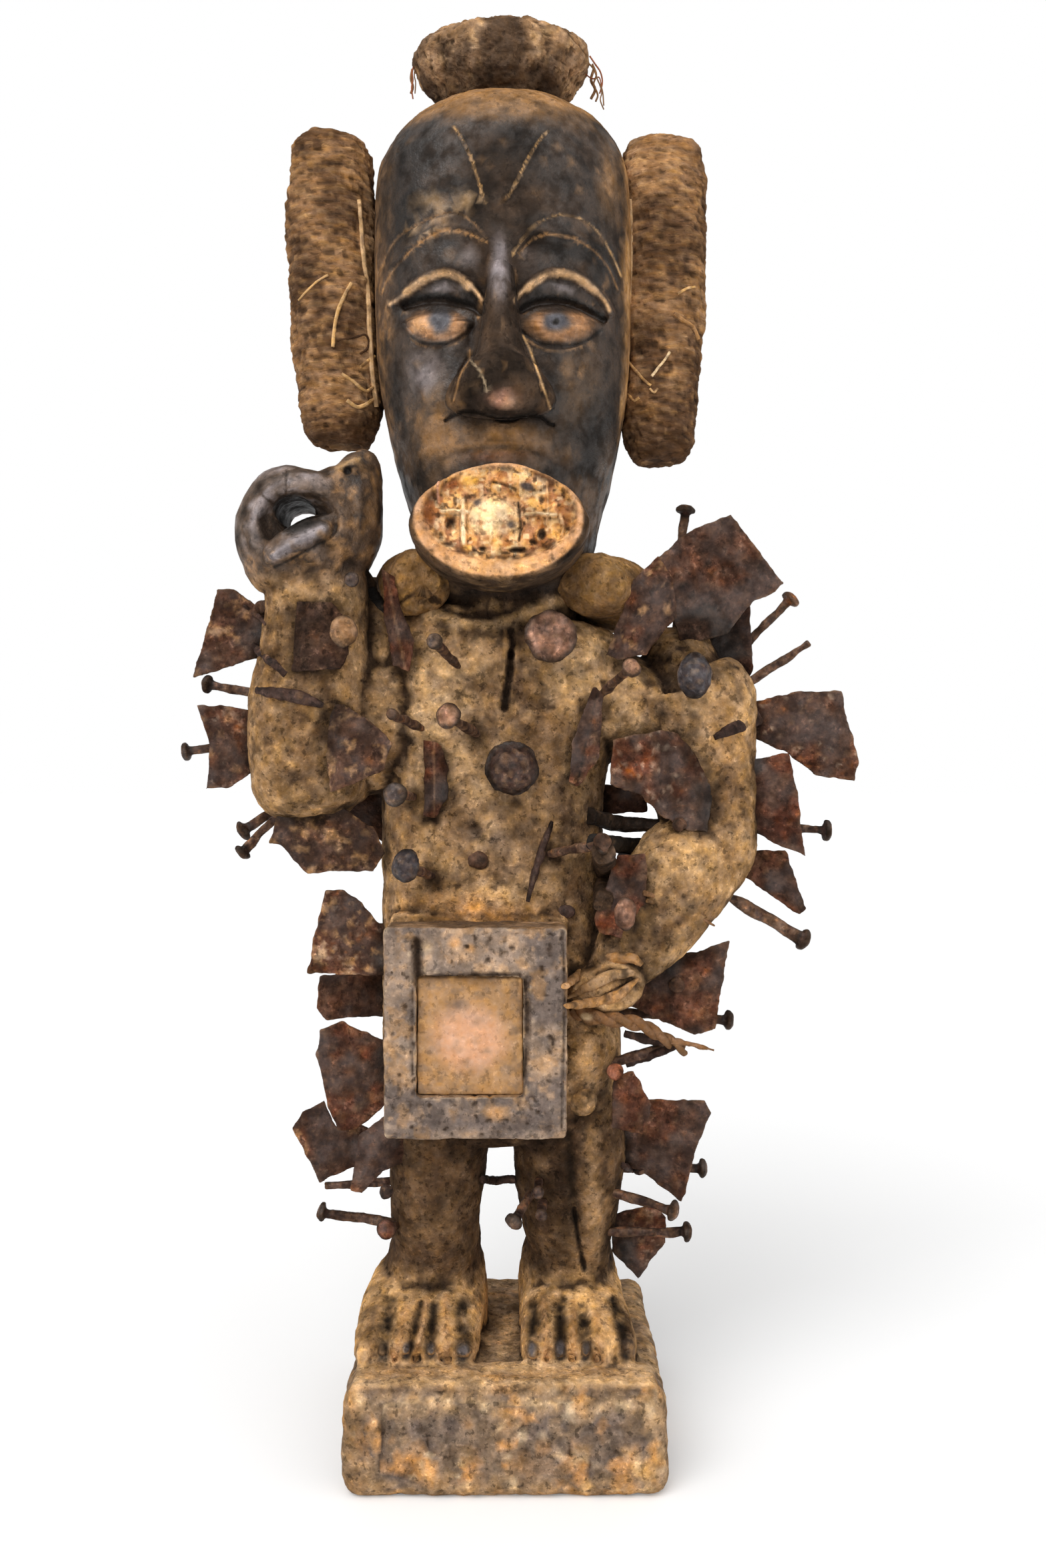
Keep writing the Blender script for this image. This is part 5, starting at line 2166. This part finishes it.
@dataclass
class BellyBox:
    """The framed box on the belly and the earth pressed into it. Sizes are in millimetres."""

    finishes: Finishes
    low: Place = (-64.5, -88.0, 193.0)
    high: Place = (33.5, -46.0, 306.0)
    recess_low: Place = (-47.0, -100.0, 216.0)
    recess_high: Place = (10.0, -72.0, 280.0)
    panel_front: float = -84.6
    clearance: float = 0.3
    frame_marks: tuple[Mark, ...] = (
        Line(((625, 1412), (625, 1440), (628, 1474)), 13, -2.4, Tone.UNDERSIDE, 0.9, True),
        Line(((618, 1480), (617, 1560), (620, 1640)), 5, -0.8, Tone.FRAME_DARK, 0.4),
        Line(((628, 1478), (652, 1466), (690, 1464), (730, 1462), (778, 1462)), 8, -1.6,
        Tone.UNDERSIDE, 0.9),
        Line(((786, 1470), (790, 1520), (788, 1580), (780, 1640)), 9, -1.6, Tone.UNDERSIDE, 0.9),
        Patch((681, 1413), (14, 11), 0, Tone.FLAKE_ORANGE, 0.7, 0, 0.8),
        Patch((704, 1422), (12, 10), 0, Tone.FLAKE_ORANGE, 0.6, 0, 0.8),
        Line(((843, 1396), (846, 1500), (842, 1690)), 4, -0.9, Tone.SOOT, 0.5),
        Patch((690, 1430), (40, 22), 0, Tone.FRAME_TAN, 0.5, 0, 0.9),
        Patch((815, 1600), (26, 40), 0, Tone.FRAME_TAN, 0.6, 0, 0.9),
        Patch((822, 1556), (22, 22), 0, Tone.FRAME_DARK, 0.6, 0, 0.9),
        Patch((808, 1660), (40, 28), 0, Tone.FRAME_DARK, 0.6, 0, 0.9),
        Patch((712, 1684), (140, 26), 0, Tone.FRAME_DARK, 1.0, 0, 0.9),
        Patch((612, 1620), (18, 24), 0, Tone.FRAME_TAN, 0.6, 0, 0.9),
        Patch((744, 1670), (20, 16), 0, Tone.FLAKE_ORANGE, 0.7, 0, 0.8),
        Patch((640, 1420), (14, 14), 0, Tone.FLAKE_PALE, 0.4, 0, 0.9),
    )

    def build(self) -> None:
        """Make the frame and its filling."""
        self.make_frame()
        self.make_panel()
        LOG.info("belly box and panel")

    def make_frame(self) -> bpy.types.Object:
        """Cut and wear the wooden frame."""
        piece = Bench.block("belly_box_worn", self.low, self.high, 3, 3)
        Bench.cut(piece, Bench.block("recess", self.recess_low, self.recess_high))
        Bench.fuse(piece, 1.1, 4)
        clay = Clay(piece)
        ahead = soften(-clay.facing[:, 1], 0.2, 0.6)
        clay.mark(self.frame_marks, ahead, True)
        clay.look()
        clay.move(0.55 * layered(clay.points, 14, 2, 1001) + 0.35 * layered(clay.points, 4, 3,
            1003))
        clay.look()
        clay.move(-0.7 * soften(layered(clay.points, 4, 2, 1005), 0.4, 0.6))
        clay.look()
        Bench.thin(piece, 60000)
        clay = Clay(piece)
        ahead = soften(-clay.facing[:, 1], 0.2, 0.6)
        broad = layered(clay.points, 24, 3, 1011)
        small = layered(clay.points, 5, 3, 1013)
        hollow = np.clip(clay.hollows(3) / 0.4, -1, 1)
        clay.dye(Tone.FRAME_GREY, 1)
        clay.dye(Tone.FRAME_DARK, soften(-broad + 0.6 * small, -0.2, 0.4) * 0.8)
        clay.dye(Tone.FRAME_TAN, soften(small + 0.4 * broad, 0.1, 0.6) * 0.6)
        clay.dye(Tone.WORN_OCHRE, soften(layered(clay.points, 9, 3, 1015), 0.15, 0.5) * 0.5)
        clay.mark(self.frame_marks, ahead, False)
        side = 1 - ahead
        clay.dye(Tone.WORN_OCHRE, side * 0.5)
        clay.dye(Tone.UNDERSIDE, side * soften(broad, -0.2, 0.5) * 0.5)
        clay.dye(Tone.FLAKE_PALE, soften(-hollow, 0.5, 1) * 0.3)
        clay.dye(Tone.UNDERSIDE, soften(hollow, 0.2, 1) * 0.75)
        clay.crust = np.full(len(clay.points), 0.8)
        clay.gloss = np.full(len(clay.points), 0.25)
        clay.paint()
        piece.data.materials.append(self.finishes.frame)
        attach(piece, "root")
        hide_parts("belly_box")
        return piece

    def make_panel(self) -> bpy.types.Object:
        """Press the earth into the recess and wear its middle."""
        gap = self.clearance
        low = (self.recess_low[0] + gap, self.panel_front, self.recess_low[2] + gap)
        high = (self.recess_high[0] - gap, self.recess_high[1] - gap, self.recess_high[2] - gap)
        piece = Bench.block("belly_panel_pressed", low, high, 0, 1)
        Bench.fuse(piece, 0.8, 2)
        clay = Clay(piece)
        ahead = soften(-clay.facing[:, 1], 0.2, 0.6)
        swell = Patch((700, 1556), (84, 92), 1.6, edge=0.9)
        clay.mark((swell,), ahead, True)
        clay.look()
        clay.move(0.5 * layered(clay.points, 11, 3, 1021))
        clay.points[:, 1] += ahead * 2.2 * soften(
            Patch((704, 1556), (88, 98), outline=Outline.BLOCK, edge=0.12).weight(clay.across,
            clay.down),
            1.0, 0.0)
        clay.look()
        Bench.thin(piece, 18000)
        clay = Clay(piece)
        small = layered(clay.points, 5, 3, 1023)
        clay.dye(Tone.PANEL_OCHRE, 1)
        clay.dye(Tone.FRAME_DARK, soften(small, 0.1, 0.6) * 0.35)
        border = Patch((704, 1556), (84, 92), outline=Outline.BLOCK, edge=0.22)
        border = 1 - border.weight(clay.across + 5 * small, clay.down + 5 * small)
        clay.dye(Tone.EARTH, border * 0.5)
        clay.dye(Tone.BRIGHT_OCHRE, border * soften(layered(clay.points, 4, 2, 1025), 0.0,
            0.5) * 0.6)
        worn = Patch((702, 1556), (72, 66), edge=0.6).weight(clay.across + 8 * small,
            clay.down + 6 * small)
        clay.dye(Tone.PANEL_PINK, worn * (0.9 - 0.3 * soften(small, 0.1, 0.6)))
        smudge = Patch((689, 1506), (24, 14), edge=1.0).weight(clay.across, clay.down)
        clay.dye(Tone.FRAME_DARK, smudge * 0.6)
        hollow = np.clip(clay.hollows(2) / 0.3, -1, 1)
        clay.dye(Tone.UNDERSIDE, soften(hollow, 0.3, 1) * 0.5)
        clay.crust = 0.7 - 0.45 * worn
        clay.paint()
        piece.data.materials.append(self.finishes.earth)
        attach(piece, "root")
        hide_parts("belly_panel")
        return piece


# Floor, light and camera


@dataclass
class Studio:
    """A pale floor, soft light and the camera."""

    floor_size: float = 60.0
    surround: float = 0.42

    def build(self) -> None:
        """Lay the floor, hang the lights and set up the camera."""
        self.lay_floor()
        self.paint_surround()
        self.lamp("key_light", (-0.8, -1.6, 1.5), 1.9, 48)
        self.lamp("broad_light", (-0.2, -1.2, 1.6), 0.7, 100)
        self.lamp("fill_light", (1.2, -1.3, 0.8), 0.55, 70)
        self.set_camera()
        bpy.context.scene.view_settings.view_transform = "Standard"
        LOG.info("studio")

    def lay_floor(self) -> None:
        """Lay the pale floor."""
        Bench.clear()
        bpy.ops.mesh.primitive_plane_add(size=self.floor_size)
        floor = Bench.named("studio_floor")
        pale = bpy.data.materials.new("studio_floor")
        pale.use_nodes = True
        shader = pale.node_tree.nodes["Principled BSDF"]
        shader.inputs["Base Color"].default_value = (0.95, 0.95, 0.95, 1)
        shader.inputs["Roughness"].default_value = 1.0
        shader.inputs["Specular IOR Level"].default_value = 0.0
        shader.inputs["Emission Color"].default_value = (1, 1, 1, 1)
        shader.inputs["Emission Strength"].default_value = 0.09
        floor.data.materials.append(pale)

    def paint_surround(self) -> None:
        """Surround the figure with white that lights it softly."""
        world = bpy.data.worlds.new("studio")
        bpy.context.scene.world = world
        world.use_nodes = True
        tree = world.node_tree
        soft = tree.nodes["Background"]
        soft.inputs["Color"].default_value = (1, 1, 1, 1)
        soft.inputs["Strength"].default_value = self.surround
        white = tree.nodes.new("ShaderNodeBackground")
        white.inputs["Color"].default_value = (1, 1, 1, 1)
        ray = tree.nodes.new("ShaderNodeLightPath")
        mix = tree.nodes.new("ShaderNodeMixShader")
        tree.links.new(ray.outputs["Is Camera Ray"], mix.inputs[0])
        tree.links.new(soft.outputs[0], mix.inputs[1])
        tree.links.new(white.outputs[0], mix.inputs[2])
        tree.links.new(mix.outputs[0], tree.nodes["World Output"].inputs["Surface"])

    @staticmethod
    def set_camera() -> None:
        """Set up the camera where the figure is looked at from."""
        bpy.ops.object.camera_add(location=[c * MM for c in EYE], rotation=(math.pi / 2, 0, 0))
        camera = bpy.context.object
        camera.name = "camera"
        lens = camera.data
        lens.sensor_width = SENSOR
        lens.lens = SENSOR * PICTURE_LENGTH / PICTURE_SIZE[1]
        lens.shift_y = (PICTURE_CENTRE[1] - PICTURE_SIZE[1] / 2) / PICTURE_SIZE[1]
        lens.clip_start, lens.clip_end = 0.01, 100
        bpy.context.scene.camera = camera

    @staticmethod
    def lamp(name: str, toward: Place, power: float, spread: float) -> None:
        """Hang one broad soft lamp.

        Args:
            name: the lamp's name.
            toward: the direction from the figure to the lamp.
            power: its power in watts a square metre.
            spread: how broad it looks, in degrees.
        """
        data = bpy.data.lights.new(name, "SUN")
        data.energy = power
        data.angle = math.radians(spread)
        lamp = bpy.data.objects.new(name, data)
        lamp.rotation_euler = Vector(toward).to_track_quat("Z", "Y").to_euler()
        lamp.location = toward
        bpy.context.scene.collection.objects.link(lamp)


def main() -> None:
    """Build every piece of the figure, then the studio, and note both boxes."""
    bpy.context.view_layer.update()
    finishes = Finishes()
    CarvedFigure(finishes).build()
    EarBundle(
        finishes,
        "left_ear_bundle",
        (
            (-97, 6, 584, 9, 9, 2), (-97, 6, 588, 17, 18, 2.1), (-99, 6, 603, 24, 26, 2.3),
            (-102, 6, 654, 26.5, 28, 2.4), (-104, 6, 701, 26, 28, 2.4), (-105, 6, 747, 25, 27, 2.5),
            (-104, 6, 763, 22, 23, 2.4), (-103, 6, 768, 12, 12, 2),
        ),
        701,
        -78.0,
        (
            (((448, 450), (462, 434), (478, 420), (492, 412)), 0.7, Tone.STRAND),
            (((527, 424), (518, 440), (508, 462), (502, 486), (499, 520)), 1.1, Tone.STRAND),
            (((505, 510), (530, 506), (548, 502), (552, 520), (540, 530)), 0.7, Tone.BUNDLE_DARK),
            (((512, 560), (530, 572), (548, 586), (560, 580)), 1.0, Tone.STRAND),
            (((520, 600), (536, 610), (552, 604), (562, 596)), 1.2, Tone.STRAND),
            (((540, 550), (552, 540), (562, 534)), 0.9, Tone.STRAND),
            (((546, 400), (552, 440), (554, 500), (558, 560), (564, 610)), 1.6, Tone.SAND),
            (((538, 300), (542, 350), (546, 400)), 1.4, Tone.SAND),
        ),
        (
            (((455, 556), (453, 572), (450, 590), (449, 602)), 1.0),
        ),
    ).build()
    EarBundle(
        finishes,
        "right_ear_bundle",
        (
            (90, 6, 575, 9, 9, 2), (90, 6, 579, 16, 17, 2.1), (91, 6, 595, 21, 24, 2.3),
            (93, 6, 646, 24.5, 28, 2.4), (94, 6, 698, 25, 28, 2.4), (93, 6, 742, 25, 27, 2.5),
            (92, 6, 760, 22, 23, 2.4), (92, 6, 766, 12, 12, 2),
        ),
        741,
        72.0,
        (
            (((938, 538), (950, 552), (964, 568), (976, 578)), 0.9, Tone.STRAND),
            (((977, 564), (986, 552), (996, 540), (1004, 528)), 0.8, Tone.CREAM),
            (((974, 582), (980, 588), (986, 582)), 0.8, Tone.STRAND),
            (((942, 590), (950, 600), (958, 596)), 0.8, Tone.STRAND),
            (((1016, 440), (1030, 432), (1042, 430)), 0.8, Tone.STRAND),
            (((1010, 470), (1024, 480), (1040, 492), (1046, 508)), 1.3, Tone.WORN_OCHRE),
            (((944, 300), (946, 360), (944, 420), (942, 470)), 1.5, Tone.SAND),
        ),
        (
            (((958, 216), (970, 210), (984, 208), (996, 214), (1004, 224)), 0.7),
        ),
    ).build()
    CrownBundle(finishes).build()
    NeckRoll(finishes).build()
    HipRoot(finishes).build()
    BellyBox(finishes).build()
    Blades(finishes).build()
    Nails(finishes).build()
    Scraps(finishes).build()
    Studio().build()


if __name__ == "__main__":
    main()
